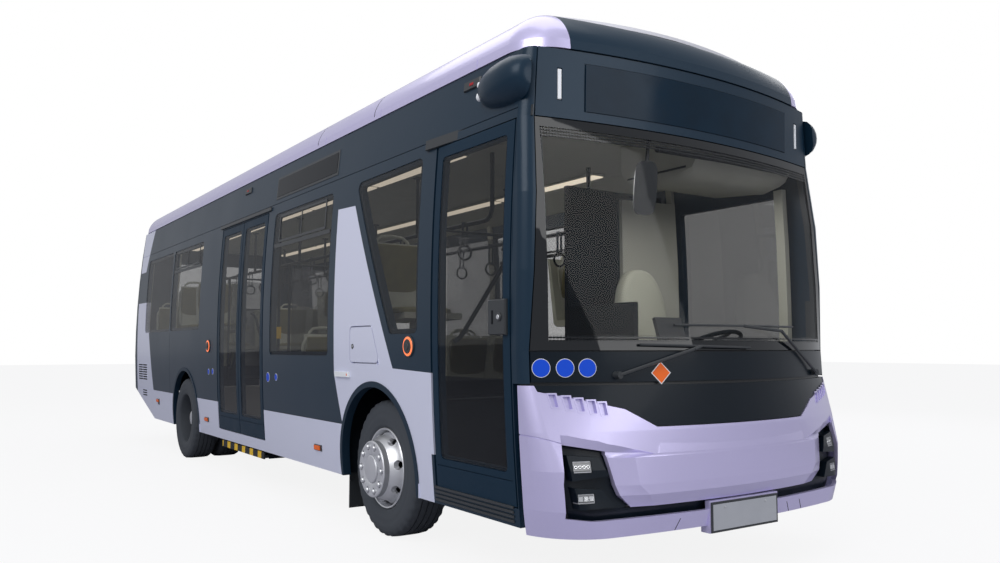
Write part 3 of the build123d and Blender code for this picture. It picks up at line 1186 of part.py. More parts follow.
for name, shape in NODES.items():
    solids = []
    for item in (shape if isinstance(shape, (list, ShapeList)) else [shape]):
        solids += item.solids()
    out = solids[0] if len(solids) == 1 else Compound(children=solids)
    export_step(out, os.path.join("parts", name + ".step"))
    print(name, len(solids), round(sum(s.volume for s in solids) / 1e9, 4))
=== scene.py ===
"""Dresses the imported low-floor city bus: paint, glass, rubber, trim, cabin and stage.

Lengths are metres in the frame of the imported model: +X forwards, +Y to the
driver's side, +Z up, with the ground at z = 0.
"""
from __future__ import annotations

import json
import logging
import math
from dataclasses import dataclass
from enum import Enum
from typing import Any, Callable, Sequence

import bmesh
import bpy
from mathutils import Matrix, Vector
from mathutils.bvhtree import BVHTree

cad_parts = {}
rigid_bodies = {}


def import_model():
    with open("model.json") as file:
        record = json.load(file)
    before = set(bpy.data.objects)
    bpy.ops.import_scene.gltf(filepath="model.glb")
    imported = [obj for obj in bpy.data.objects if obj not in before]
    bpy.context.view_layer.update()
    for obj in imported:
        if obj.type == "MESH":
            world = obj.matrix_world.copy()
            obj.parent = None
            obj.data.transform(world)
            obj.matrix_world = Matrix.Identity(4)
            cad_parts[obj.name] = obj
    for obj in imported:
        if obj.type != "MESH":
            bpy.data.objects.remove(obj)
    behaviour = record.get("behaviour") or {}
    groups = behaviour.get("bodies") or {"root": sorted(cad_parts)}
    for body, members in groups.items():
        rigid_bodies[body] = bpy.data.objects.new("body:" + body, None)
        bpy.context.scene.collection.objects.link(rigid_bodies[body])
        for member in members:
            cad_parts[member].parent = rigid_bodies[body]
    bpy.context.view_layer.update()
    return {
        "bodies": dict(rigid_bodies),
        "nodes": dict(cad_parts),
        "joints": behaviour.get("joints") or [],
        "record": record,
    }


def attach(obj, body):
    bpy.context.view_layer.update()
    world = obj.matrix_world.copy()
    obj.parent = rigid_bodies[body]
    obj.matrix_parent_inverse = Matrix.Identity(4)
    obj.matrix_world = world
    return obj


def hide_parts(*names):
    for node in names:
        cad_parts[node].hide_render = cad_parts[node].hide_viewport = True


LOG = logging.getLogger("bus")
Colour = tuple[float, float, float, float]
Point = tuple[float, float, float]
Flat = tuple[float, float]
Box = tuple[float, float, float, float]    # low and high along one axis, then along the other
Place = tuple[Vector, Vector]    # a place on a surface, and the way the surface faces there


def srgb(code: str) -> Colour:
    """Linear colour of a six-digit display colour.

    Args:
        code: Hexadecimal digits, red first.

    Returns:
        Linear red, green, blue and an alpha of one.
    """
    parts = [int(code[i:i + 2], 16) / 255 for i in (0, 2, 4)]
    linear = [p / 12.92 if p <= 0.04045 else ((p + 0.055) / 1.055) ** 2.4 for p in parts]
    return (linear[0], linear[1], linear[2], 1.0)


def circle(steps: int, start: float = 0.0) -> list[float]:
    """Angles of even steps round a circle."""
    return [2 * math.pi * n / steps + start for n in range(steps)]


def between(start: Flat, end: Flat, share: float) -> Flat:
    """Point at a share of the way from start to end."""
    return (start[0] + share * (end[0] - start[0]), start[1] + share * (end[1] - start[1]))


# ------------------------------------------------------------------ shader maths
@dataclass(frozen=True)
class Signal:
    """A number that one socket of a node tree carries, with arithmetic."""

    graph: Graph
    socket: bpy.types.NodeSocket

    def __add__(self, other: Signal | float) -> Signal:
        """Sum of the two."""
        return self.graph.math("ADD", self, other)

    __radd__ = __add__

    def __sub__(self, other: Signal | float) -> Signal:
        """This minus the other."""
        return self.graph.math("SUBTRACT", self, other)

    def __rsub__(self, other: float) -> Signal:
        """The other minus this."""
        return self.graph.math("SUBTRACT", other, self)

    def __mul__(self, other: Signal | float) -> Signal:
        """Product of the two."""
        return self.graph.math("MULTIPLY", self, other)

    __rmul__ = __mul__

    def __truediv__(self, other: Signal | float) -> Signal:
        """This divided by the other."""
        return self.graph.math("DIVIDE", self, other)

    def __gt__(self, other: Signal | float) -> Signal:
        """One where this is the greater."""
        return self.graph.math("GREATER_THAN", self, other)

    def __lt__(self, other: Signal | float) -> Signal:
        """One where this is the smaller."""
        return self.graph.math("LESS_THAN", self, other)

    def __abs__(self) -> Signal:
        """Size without the sign."""
        return self.graph.math("ABSOLUTE", self)

    def __mod__(self, other: float) -> Signal:
        """Remainder, never negative."""
        return self.graph.math("FLOORED_MODULO", self, other)

    def top(self, other: Signal | float) -> Signal:
        """The greater of the two."""
        return self.graph.math("MAXIMUM", self, other)


class Graph:
    """Node tree of one material."""

    def __init__(self, name: str) -> None:
        """Start an empty material.

        Args:
            name: Name of the material.
        """
        self.material = bpy.data.materials.new(name)
        self.material.use_nodes = True
        self.tree = self.material.node_tree
        self.tree.nodes.clear()
        self._place: dict[str, Signal] | None = None

    def node(self, kind: str, settings: dict[str, Any] | None = None,
             sockets: dict[str | int, Any] | None = None) -> bpy.types.Node:
        """Add one node.

        Args:
            kind: Type of the node.
            settings: Properties, set before the sockets.
            sockets: Values or links of its inputs, by name or number.

        Returns:
            The new node.
        """
        made = self.tree.nodes.new(kind)
        for key, value in (settings or {}).items():
            setattr(made, key, value)
        for key, value in (sockets or {}).items():
            source = value.socket if isinstance(value, Signal) else value
            if isinstance(source, bpy.types.NodeSocket):
                self.tree.links.new(source, made.inputs[key])
            else:
                made.inputs[key].default_value = source
        return made

    def math(self, operation: str, *values: Signal | float) -> Signal:
        """Math node on numbers or signals."""
        made = self.node("ShaderNodeMath", {"operation": operation}, dict(enumerate(values)))
        return Signal(self, made.outputs[0])

    @property
    def place(self) -> dict[str, Signal]:
        """Object coordinates x, y and z."""
        if self._place is None:
            where = self.node("ShaderNodeTexCoord")
            split = self.node("ShaderNodeSeparateXYZ", None, {0: where.outputs["Object"]})
            self._place = {axis: Signal(self, split.outputs[i]) for i, axis in enumerate("xyz")}
        return self._place

    def noise(self, scale: float, detail: float = 3.0) -> Signal:
        """Cloudy noise between about 0.3 and 0.7.

        Args:
            scale: Cells for each metre.
            detail: Octaves.

        Returns:
            The noise.
        """
        where = self.node("ShaderNodeTexCoord")
        made = self.node("ShaderNodeTexNoise", None,
                         {"Vector": where.outputs["Object"], "Scale": scale, "Detail": detail})
        return Signal(self, made.outputs[0])

    def cells(self, scale: float) -> Signal:
        """Distance to the centre of random cells."""
        where = self.node("ShaderNodeTexCoord")
        made = self.node("ShaderNodeTexVoronoi", None, {"Vector": where.outputs["Object"], "Scale": scale})
        return Signal(self, made.outputs["Distance"])

    def blend(self, share: Signal | float, first: Any, second: Any) -> bpy.types.NodeSocket:
        """Colour between two: the second where share is one."""
        made = self.node("ShaderNodeMix", {"data_type": "RGBA"}, {0: share, 6: first, 7: second})
        return made.outputs[2]

    def bump(self, height: Signal, distance: float, strength: float = 0.5) -> bpy.types.NodeSocket:
        """Normal from a height."""
        made = self.node("ShaderNodeBump", None,
                         {"Height": height, "Distance": distance, "Strength": strength})
        return made.outputs[0]

    def surface(self, sockets: dict[str | int, Any]) -> bpy.types.Material:
        """Close the tree with one principled shader.

        Args:
            sockets: Inputs of the shader.

        Returns:
            The finished material.
        """
        shader = self.node("ShaderNodeBsdfPrincipled", None, sockets)
        self.node("ShaderNodeOutputMaterial", None, {"Surface": shader.outputs[0]})
        return self.material


# ------------------------------------------------------------------ finishes
class Tone(Enum):
    """Display colours of the bus."""

    # LILAC_WITH_PAINTED_SHADE is a deeper copy of the side's lilac LILAC_SIDE, darkened as painted shade; it
    # covers the front bumper and the roof coves
    LILAC_WITH_PAINTED_SHADE = "c9c0f0"
    LILAC_SIDE = "dde0f8"
    CHARCOAL = "122a3c"
    CHARCOAL_LIGHT = "1c3547"
    BELT = "0a1016"
    INK = "0d1116"
    RUBBER = "0f1214"
    STEEL = "c8cacd"
    SAGE = "b4b5a2"
    CREAM = "d3d2c4"
    OLIVE = "8a8252"
    WARM = "fff0d8"
    OLIVE_DARK = "57523a"
    PLATE = "a4a7ae"
    SCREEN = "10141a"
    FLOOR = "6f6e68"
    AMBER = "f2702e"
    RED = "a32229"
    BLUE = "1d4fd0"
    YELLOW = "f0c21c"
    WHITE = "e9eaec"
    ROOF = "a9abbb"

    @property
    def linear(self) -> Colour:
        """The colour for a shader."""
        return srgb(self.value)


@dataclass(frozen=True)
class CoachPaint:
    """Clear-coated body paint with fine flake and a faint orange peel."""

    name: str
    tone: Tone
    flake: Tone
    metallic: float = 0.25
    roughness: float = 0.34
    coat: float = 0.6
    shine: float = 0.5

    def material(self) -> bpy.types.Material:
        """Material of this paint."""
        graph = Graph(self.name)
        fleck = graph.cells(900.0)
        cloud = graph.noise(1.3, 2.0)
        base = graph.blend(fleck * 0.35, self.tone.linear, self.flake.linear)
        return graph.surface({
            "Base Color": base,
            "Metallic": self.metallic,
            "Roughness": cloud * 0.10 + (self.roughness - 0.05),
            "Coat Weight": self.coat,
            "Coat Roughness": 0.08,
            "Specular IOR Level": self.shine,
            "Normal": graph.bump(graph.noise(260.0, 1.0), 0.0004, 0.12),
        })


@dataclass(frozen=True)
class Livery:
    """Two-tone side paint: pale skirt, fin and rear column on a charcoal side."""

    name: str
    dark: Tone = Tone.CHARCOAL
    pale: Tone = Tone.LILAC_SIDE
    trim: Tone = Tone.CHARCOAL
    skirt_z: float = 0.680
    arches: Flat = (2.705, -2.020)
    arch_z: float = 0.4335
    arch_trim: float = 0.5565
    # outlines of the pale fields as (station, height), anticlockwise
    fields: tuple[tuple[Flat, ...], ...] = (
        ((-4.8, 0.3), (-3.50, 0.3), (-3.539, 0.685), (-3.666, 1.065), (-3.800, 1.430), (-3.937, 1.792),
         (-4.8, 1.795)),
        ((-4.8, 2.20), (-4.173, 2.204), (-3.905, 2.780), (-4.8, 2.790)),
        ((2.234, 0.60), (3.47, 0.60), (3.47, 1.062), (2.989, 1.078), (2.087, 1.078), (2.087, 1.027)),
        ((2.087, 1.07), (2.989, 1.07), (2.369, 2.181), (2.080, 2.193)))
    # rear and front end of the dark sill under the front door
    sill: Flat = (3.432, 4.290)

    @staticmethod
    def _edge(x: Signal, z: Signal, start: Flat, end: Flat) -> Signal:
        """One where a point lies to the left of the line from start to end."""
        run, rise = end[0] - start[0], end[1] - start[1]
        across = (z - start[1]) * run - (x - start[0]) * rise
        return across > 0.0

    def _inside(self, x: Signal, z: Signal, corners: Sequence[Flat]) -> Signal:
        """One inside a convex outline given anticlockwise in (x, z)."""
        mask: Signal | None = None
        for start, end in zip(corners, list(corners[1:]) + [corners[0]]):
            side = self._edge(x, z, start, end)
            mask = side if mask is None else mask * side
        return mask

    def mask(self, graph: Graph) -> Signal:
        """One where the pale paint lies."""
        x, z = graph.place["x"], graph.place["z"]
        sill = (x > self.sill[0]) * (x < self.sill[1]) * (graph.place["y"] < 0.0)
        mask = (z < self.skirt_z) * (1.0 - sill)
        for outline in self.fields:
            mask = mask.top(self._inside(x, z, outline))
        return mask

    def arch(self, graph: Graph) -> Signal:
        """One on the moulded trims round the wheel arches."""
        x, z = graph.place["x"], graph.place["z"] - self.arch_z
        front, rear = ((x - station) * (x - station) + z * z < self.arch_trim ** 2 for station in self.arches)
        return front.top(rear)

    def material(self) -> bpy.types.Material:
        """Material of this paint."""
        graph = Graph(self.name)
        trim = self.arch(graph)
        pale = self.mask(graph) * (1.0 - trim)
        fleck = graph.cells(900.0)
        dark_base = graph.blend(fleck * 0.3, self.dark.linear, Tone.CHARCOAL_LIGHT.linear)
        pale_base = graph.blend(fleck * 0.35, self.pale.linear, Tone.WHITE.linear)
        return graph.surface({
            "Base Color": graph.blend(trim, graph.blend(pale, dark_base, pale_base), self.trim.linear),
            "Metallic": pale * 0.1 + 0.12,
            "Roughness": graph.noise(1.3, 2.0) * 0.10 + 0.30 + trim * 0.15,
            "Coat Weight": pale * 0.25 + 0.06,
            "Coat Roughness": 0.12,
            "Specular IOR Level": 0.3,
            "Normal": graph.bump(graph.noise(240.0, 1.0), 0.0004, 0.12),
        })


@dataclass(frozen=True)
class Grained:
    """Moulded plastic or rubber with a fine grain."""

    name: str
    tone: Tone
    roughness: float = 0.55
    grain: float = 420.0
    depth: float = 0.0006
    worn: Tone = Tone.CHARCOAL_LIGHT
    wear: float = 0.15
    metallic: float = 0.0
    shine: float = 0.12

    def material(self) -> bpy.types.Material:
        """Material of this plastic."""
        graph = Graph(self.name)
        cloud = graph.noise(6.0, 4.0)
        return graph.surface({
            "Base Color": graph.blend(cloud * self.wear, self.tone.linear, self.worn.linear),
            "Roughness": cloud * 0.2 + (self.roughness - 0.1),
            "Metallic": self.metallic,
            "Specular IOR Level": self.shine,
            "Normal": graph.bump(graph.noise(self.grain, 2.0), self.depth, 0.35),
        })


@dataclass(frozen=True)
class Brushed:
    """Cast or brushed bright metal."""

    name: str
    tone: Tone = Tone.STEEL
    roughness: float = 0.28

    def material(self) -> bpy.types.Material:
        """Material of this metal."""
        graph = Graph(self.name)
        smear = graph.noise(14.0, 5.0)
        fine = graph.noise(700.0, 2.0)
        return graph.surface({
            "Base Color": graph.blend(smear * 0.5, self.tone.linear, Tone.WHITE.linear),
            "Metallic": 0.92,
            "Roughness": smear * 0.22 + (self.roughness - 0.11),
            "Normal": graph.bump(fine, 0.0003, 0.2),
        })


@dataclass(frozen=True)
class Glazing:
    """Tinted pane that lets the cabin show through."""

    name: str
    tint: Tone = Tone.INK
    cover: float = 0.32
    frit: Flat | None = None
    frit_half: float = 1.075
    dots: float = 0.016
    driver: bool = False

    def material(self) -> bpy.types.Material:
        """Material of this glass."""
        graph = Graph(self.name)
        ripple = graph.noise(3.0, 2.0)
        alpha: Signal | float = ripple * 0.06 + (self.cover - 0.03)
        x, y, z = (graph.place[axis] for axis in "xyz")
        if self.frit is not None:
            low, high = self.frit
            across, up = (y + 2.0) % self.dots - self.dots / 2, z % self.dots - self.dots / 2
            spot = (across * across + up * up) < (self.dots * 0.36) ** 2
            border = (z > high).top(z < low).top(abs(y) > self.frit_half)
            fading = (z > high - 0.05).top(z < low + 0.03) * spot
            alpha = alpha.top(border).top(fading)
        if self.driver:
            alpha = alpha.top((x > 3.1) * (y > 0.5) * 0.62)
        return graph.surface({
            "Base Color": self.tint.linear,
            "Roughness": ripple * 0.02 + 0.015,
            "Alpha": alpha,
            "IOR": 1.45,
            "Specular IOR Level": 0.6,
        })


@dataclass(frozen=True)
class Glow:
    """Lit strip or lens."""

    name: str
    tone: Tone
    power: float

    def material(self) -> bpy.types.Material:
        """Material of this light."""
        graph = Graph(self.name)
        cloud = graph.noise(30.0, 2.0)
        return graph.surface({
            "Base Color": graph.blend(cloud * 0.2, self.tone.linear, Tone.WHITE.linear),
            "Roughness": 0.3,
            "Emission Color": self.tone.linear,
            "Emission Strength": self.power,
        })


@dataclass(frozen=True)
class LampUnit:
    """Lamp body: dark and clear at the front, red at the rear."""

    name: str = "lamp_unit"

    def material(self) -> bpy.types.Material:
        """Material of the lamps."""
        graph = Graph(self.name)
        x, z = graph.place["x"], graph.place["z"]
        ribs = ((z * 90.0) % 1.0) < 0.5
        front = graph.blend(ribs * 0.25 + 0.2, Tone.INK.linear, Tone.STEEL.linear)
        rear = graph.blend(ribs * 0.2, Tone.RED.linear, Tone.INK.linear)
        return graph.surface({
            "Base Color": graph.blend(x > 0.0, rear, front),
            "Roughness": ribs * 0.08 + 0.12,
            "Coat Weight": 0.6,
        })


@dataclass(frozen=True)
class Woven:
    """Woven cloth with crossing threads."""

    name: str
    tone: Tone
    dark: Tone
    pitch: float

    def material(self) -> bpy.types.Material:
        """Material of this cloth."""
        graph = Graph(self.name)
        x, y, z = (graph.place[axis] for axis in "xyz")
        along, across = y / self.pitch, (x + z) / self.pitch
        check = graph.math("SINE", along * math.tau) * graph.math("SINE", across * math.tau)
        patch = graph.noise(14.0, 3.0)
        share = (check * 0.25 + 0.35) + (patch - 0.5) * 0.8
        return graph.surface({
            "Base Color": graph.blend(share, self.tone.linear, self.dark.linear),
            "Roughness": 0.9 - patch * 0.1,
            "Normal": graph.bump(check, 0.0008, 0.5),
        })


@dataclass(frozen=True)
class VinylFloor:
    """Speckled bus flooring."""

    name: str = "floor_vinyl"

    def material(self) -> bpy.types.Material:
        """Material of the floor."""
        graph = Graph(self.name)
        speck = graph.cells(220.0) < 0.22
        return graph.surface({
            "Base Color": graph.blend(speck * 0.7, Tone.FLOOR.linear, Tone.CREAM.linear),
            "Roughness": graph.noise(9.0) * 0.2 + 0.5,
            "Normal": graph.bump(graph.cells(500.0), 0.0004, 0.3),
        })


@dataclass(frozen=True)
class StripedRamp:
    """Black ramp edge with yellow hazard blocks along X."""

    name: str = "ramp_hazard"
    pitch: float = 0.22
    share: float = 0.42
    edge_y: float = -1.10

    def material(self) -> bpy.types.Material:
        """Material of the ramp."""
        graph = Graph(self.name)
        x, y = graph.place["x"], graph.place["y"]
        block = ((x + 10.0) % self.pitch) < (self.pitch * self.share)
        edge = y < self.edge_y
        return graph.surface({
            "Base Color": graph.blend(block * edge, Tone.INK.linear, Tone.YELLOW.linear),
            "Roughness": graph.noise(60.0) * 0.2 + 0.45,
            "Normal": graph.bump(graph.cells(160.0), 0.001, 0.4),
        })


class Finish(Enum):
    """All the finishes of the bus, made once each."""

    DARK_SIDE = Livery("side_livery")
    # deeper lilac with painted shade, for the bumper and the roof coves; the side's own lilac is LILAC_SIDE
    LILAC_WITH_PAINTED_SHADE = CoachPaint("lilac_paint_with_painted_shade", Tone.LILAC_WITH_PAINTED_SHADE, Tone.WHITE, 0.45, 0.30, 0.5)
    CHARCOAL = CoachPaint("charcoal_paint", Tone.CHARCOAL, Tone.CHARCOAL_LIGHT, 0.15, 0.36, 0.06, 0.25)
    FLAP = CoachPaint("flap_paint", Tone.LILAC_SIDE, Tone.WHITE, 0.20, 0.34, 0.35)
    INLAY = CoachPaint("inlay_paint", Tone.INK, Tone.CHARCOAL, 0.1, 0.32, 0.08, 0.2)
    BELT = CoachPaint("belt_paint", Tone.BELT, Tone.CHARCOAL, 0.1, 0.32, 0.05, 0.2)
    LAMP_UNIT = LampUnit()
    CELL = Brushed("lamp_cell", Tone.WHITE, 0.12)
    LIP = CoachPaint("louvre_lip_paint", Tone.LILAC_SIDE, Tone.WHITE, 0.20, 0.34, 0.35)
    ROOF = CoachPaint("roof_paint", Tone.ROOF, Tone.WHITE, 0.05, 0.5, 0.2)
    BLACK_TRIM = Grained("black_trim", Tone.INK, 0.45)
    DOOR = Grained("door_frame_paint", Tone.CHARCOAL, 0.42, 500.0, 0.0002)
    UNDERSIDE = Grained("underbody", Tone.INK, 0.75, 90.0, 0.001)
    RUBBER = Grained("tyre_rubber", Tone.INK, 0.8, 160.0, 0.0004, Tone.RUBBER, 0.15, 0.0, 0.04)
    LINING = Grained("cabin_lining", Tone.CREAM, 0.6, 300.0, 0.0004, Tone.SAGE, 0.5)
    SHADE_LINING = Grained("driver_partition_panel", Tone.INK, 0.35, 300.0, 0.0003)
    SEAT_SHELL = Grained("seat_shell", Tone.SAGE, 0.5, 300.0, 0.0003, Tone.CREAM, 0.6)
    SEAT_PAD = Grained("seat_cover", Tone.OLIVE, 0.85, 800.0, 0.0012, Tone.SAGE, 0.3)
    RAIL = Grained("rail_sleeve", Tone.INK, 0.4, 250.0, 0.0002)
    RIM = Brushed("rim_metal", Tone.STEEL, 0.17)
    CAST = Brushed("cast_metal", Tone.STEEL, 0.5)
    SIDE_GLASS = Glazing("side_glass", Tone.INK, 0.36, driver=True)
    FRONT_GLASS = Glazing("front_glass", Tone.INK, 0.16, frit=(1.238, 2.325))
    LENS = Brushed("lamp_lens", Tone.WHITE, 0.12)
    STRIP = Glow("warm_strip", Tone.WARM, 0.9)
    HEADER_GLASS = Grained("display_glass", Tone.CHARCOAL, 0.16, 500.0, 0.0001, Tone.INK, 0.5)
    AMBER = Grained("amber_lens", Tone.AMBER, 0.25, 400.0, 0.0002, Tone.AMBER, 0.1)
    RING = Glow("button_ring", Tone.AMBER, 0.9)
    RED_LENS = Grained("red_lens", Tone.RED, 0.22, 400.0, 0.0002, Tone.RED, 0.1)
    BLUE = Grained("notice_blue", Tone.BLUE, 0.4, 300.0, 0.0001, Tone.BLUE, 0.1)
    PALE_MARK = Grained("notice_field", Tone.WHITE, 0.4, 300.0, 0.0001, Tone.WHITE, 0.1)
    PLATE = Grained("plate_silver", Tone.PLATE, 0.4, 300.0, 0.0001, Tone.WHITE, 0.2)
    SCREEN = Grained("screen_glass", Tone.SCREEN, 0.12, 500.0, 0.0001, Tone.INK, 0.3)
    MIRROR = Brushed("mirror_face", Tone.WHITE, 0.08)
    # dark finish: the own colour of joints, and painted shade on the louvre slots
    SOCKET = Grained("dark_joint_and_painted_shade", Tone.INK, 0.7)
    GRIP = Grained("moulded_grip", Tone.RUBBER, 0.55, 400.0, 0.0005)
    STRAP = Woven("strap_band", Tone.CHARCOAL, Tone.INK, 0.0016)
    FABRIC = Woven("seat_fabric", Tone.OLIVE, Tone.OLIVE_DARK, 0.006)
    STOP_BOX = Grained("stop_box", Tone.YELLOW, 0.4, 300.0, 0.0003, Tone.YELLOW, 0.1)
    FLOOR = VinylFloor()
    HAZARD = StripedRamp()

    @property
    def material(self) -> bpy.types.Material:
        """The material, made at first use."""
        return bpy.data.materials.get(self.value.name) or self.value.material()


NODE_FINISH: dict[Finish, tuple[str, ...]] = {
    Finish.DARK_SIDE: ("side_wall_right", "side_wall_left"),
    Finish.BELT: ("belt_panel",),
    Finish.CHARCOAL: ("front_header", "front_crown", "mirror_pods", "rear_wall", "rear_hatch"),
    Finish.LILAC_WITH_PAINTED_SHADE: ("bumper", "roof_coves"),
    Finish.FLAP: ("charge_flap",),
    Finish.INLAY: ("bumper_inlays",),
    Finish.ROOF: ("roof_panel",),
    Finish.BLACK_TRIM: ("dashboard", "front_frame", "wipers", "mud_flaps", "steering_wheel"),
    Finish.DOOR: ("door_front_leaf", "door_rear_leaf_front", "door_rear_leaf_back"),
    Finish.SIDE_GLASS: ("window_glass", "door_front_glass", "door_rear_glass_front", "door_rear_glass_back"),
    Finish.FRONT_GLASS: ("windscreen",),
    Finish.LAMP_UNIT: ("lamps",),
    Finish.UNDERSIDE: ("chassis_frame", "front_axle", "rear_axle", "knuckle_left", "knuckle_right",
                       "drive_motor",
                       "wheel_boxes"),
    Finish.FLOOR: ("floor_deck",),
    Finish.LINING: ("ceiling_lining",),
    Finish.SHADE_LINING: ("driver_partition",),
    Finish.SEAT_SHELL: ("passenger_seats",),
    Finish.SEAT_PAD: ("driver_seat",),
    Finish.RAIL: ("grab_rails",),
    Finish.CAST: ("battery_packs",),
    Finish.RUBBER: ("tyre_front_left", "tyre_front_right", "tyres_rear_left", "tyres_rear_right"),
    Finish.RIM: ("rim_front_left", "rim_front_right", "rims_rear_left", "rims_rear_right"),
    Finish.HAZARD: ("ramp",),
}


def dress_nodes(nodes: dict[str, bpy.types.Object]) -> None:
    """Give every carried-over solid its finish.

    Args:
        nodes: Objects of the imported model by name.
    """
    for finish, names in NODE_FINISH.items():
        for name in names:
            mesh = nodes[name].data
            mesh.materials.clear()
            mesh.materials.append(finish.material)
            LOG.info("finish %s on %s", finish.name, name)


# ------------------------------------------------------------------ body surfaces and meshes
class Probe:
    """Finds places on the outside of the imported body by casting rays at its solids."""

    def __init__(self, nodes: dict[str, bpy.types.Object], names: Sequence[str]) -> None:
        """Gather the surfaces.

        Args:
            nodes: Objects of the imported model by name.
            names: Those that rays may hit.
        """
        points: list[Vector] = []
        faces: list[list[int]] = []
        for name in names:
            mesh, start = nodes[name].data, len(points)
            points += [vertex.co.copy() for vertex in mesh.vertices]
            faces += [[start + index for index in face.vertices] for face in mesh.polygons]
        self.tree = BVHTree.FromPolygons(points, faces)

    def cast(self, start: Point, way: Point) -> Place:
        """Place that a ray hits, and the direction that the surface faces there."""
        spot, normal, _, _ = self.tree.ray_cast(Vector(start), Vector(way))
        if spot is None:
            raise ValueError(f"no surface at {start}")
        return spot, normal if normal.dot(Vector(way)) < 0 else -normal

    def front(self, y: float, z: float) -> Place:
        """Place on the front."""
        return self.cast((6.0, y, z), (-1, 0, 0))

    def rear(self, y: float, z: float) -> Place:
        """Place on the rear."""
        return self.cast((-6.0, y, z), (1, 0, 0))

    def side(self, x: float, z: float, hand: int) -> Place:
        """Place on a side wall; hand is +1 on the driver's side."""
        return self.cast((x, hand * 3.0, z), (0, -hand, 0))

    def front_block(self, edges: Box) -> list[Place]:
        """Places at the corners of an upright rectangle on the front."""
        y0, y1, z0, z1 = edges
        return [self.front(y, z) for y, z in ((y0, z0), (y1, z0), (y1, z1), (y0, z1))]

    def side_block(self, edges: Box, hand: int) -> list[Place]:
        """Places at the corners of an upright rectangle on a side wall."""
        x0, x1, z0, z1 = edges
        return [self.side(x, z, hand) for x, z in ((x0, z0), (x1, z0), (x1, z1), (x0, z1))]


class Form:
    """Mesh of one piece, put together from closed solids."""

    def __init__(self, name: str) -> None:
        """Start an empty piece.

        Args:
            name: Name of the piece.
        """
        self.name = name
        self.mesh = bmesh.new()
        self.finishes: list[Finish] = []

    def rings(self, rows: Sequence[Sequence[Point]], finish: Finish, loop: bool = False) -> None:
        """Closed solid through rings of equal length.

        Args:
            rows: Rings of points.
            finish: What covers it.
            loop: Whether the last ring meets the first, in place of two flat ends.
        """
        if finish not in self.finishes:
            self.finishes.append(finish)
        verts = [[self.mesh.verts.new(point) for point in row] for row in rows]
        pairs = list(zip(verts, verts[1:])) + ([(verts[-1], verts[0])] if loop else [])
        faces = []
        for here, there in pairs:
            for a, b in zip(range(len(here)), [*range(1, len(here)), 0]):
                faces.append(self.mesh.faces.new((here[a], here[b], there[b], there[a])))
        if not loop:
            faces += [self.mesh.faces.new(verts[0][::-1]), self.mesh.faces.new(verts[-1])]
        for face in faces:
            face.material_index = self.finishes.index(finish)

    def plate(self, outline: Sequence[Point], shift: Point, finish: Finish) -> None:
        """Plate from an outline and the vector through its thickness."""
        self.rings([outline, [tuple(a + b for a, b in zip(point, shift)) for point in outline]], finish)

    def box(self, low: Point, high: Point, finish: Finish) -> None:
        """Block between two corners."""
        (x0, y0, z0), (x1, y1, z1) = low, high
        self.plate([(x0, y0, z0), (x1, y0, z0), (x1, y1, z0), (x0, y1, z0)], (0, 0, z1 - z0), finish)

    def tube(self, path: Sequence[Point], radius: float | Sequence[float], finish: Finish, sides: int = 12,
             loop: bool = False) -> None:
        """Round tube along a path.

        Args:
            path: Points along its middle.
            radius: One radius, or one for each point.
            finish: What covers it.
            sides: Sides of its section.
            loop: Whether the path closes on itself.
        """
        spots = [Vector(point) for point in path]
        radii = [radius] * len(spots) if isinstance(radius, (int, float)) else list(radius)
        rows, across = [], None
        for n, spot in enumerate(spots):
            before = spots[n - 1] if n or loop else spot
            after = spots[(n + 1) % len(spots)] if n + 1 < len(spots) or loop else spot
            run = (after - before).normalized()
            if across is None:
                across = run.orthogonal().normalized()
            across = (across - run * across.dot(run)).normalized()
            up = run.cross(across)
            rows.append([tuple(spot + (across * math.cos(a) + up * math.sin(a)) * radii[n])
                         for a in circle(sides)])
        self.rings(rows, finish, loop)

    def lathe(self, profile: Sequence[Flat], origin: Point, side: int, finish: Finish, steps: int = 96,
              lug: Sequence[int] = (), bite: float = 0.0) -> None:
        """Ring about an axle along Y.

        Args:
            profile: Closed outline as (offset outwards, radius).
            origin: Middle of the ring.
            side: Which way outwards is: +1 or -1.
            finish: What covers it.
            steps: Steps round.
            lug: Numbers of the profile points that notches move inwards.
            bite: Depth of the notches.
        """
        rows = []
        for step, turn in enumerate(circle(steps)):
            low = bite if step // 2 % 2 else 0.0
            rows.append([(origin[0] + (r - (low if n in lug else 0)) * math.cos(turn),
                          origin[1] + side * offset,
                          origin[2] + (r - (low if n in lug else 0)) * math.sin(turn))
                         for n, (offset, r) in enumerate(profile)])
        self.rings(rows, finish, loop=True)

    def patch(self, spots: Sequence[Place], rise: float, sink: float, finish: Finish,
              chamfer: float = 0.0) -> None:
        """Low block that follows a surface.

        Args:
            spots: Its corners as (place, facing), in order round it.
            rise: Height above the surface.
            sink: Depth below it.
            finish: What covers it.
            chamfer: How far its upper edge draws in.
        """
        middle = sum((spot for spot, _ in spots), Vector()) / len(spots)
        rows = [[tuple(spot - facing * sink) for spot, facing in spots]]
        rows.append([tuple(spot + facing * (rise - chamfer)) for spot, facing in spots])
        if chamfer:
            rows.append([tuple(spot + (middle - spot).normalized() * chamfer + facing * rise)
                         for spot, facing in spots])
        self.rings(rows, finish)

    def strip(self, spots: Sequence[Place], across: Point, half: float, rise: float, sink: float,
              finish: Finish) -> None:
        """Flat strip along a row of surface places, half wide to each side."""
        wide = Vector(across).normalized() * half
        rows = [[tuple(spot + wide + facing * rise), tuple(spot - wide + facing * rise),
                 tuple(spot - wide - facing * sink), tuple(spot + wide - facing * sink)]
                 for spot, facing in spots]
        self.rings(rows, finish)

    def disc(self, centre: Point, facing: Point, radius: float, thick: float, finish: Finish,
             steps: int = 40) -> None:
        """Flat disc that stands out from centre along facing, with a soft edge."""
        way = Vector(facing).normalized()
        path = [tuple(Vector(centre) + way * reach) for reach in (-thick, thick * 0.6, thick)]
        self.tube(path, [radius, radius, radius - thick * 0.4], finish, steps)

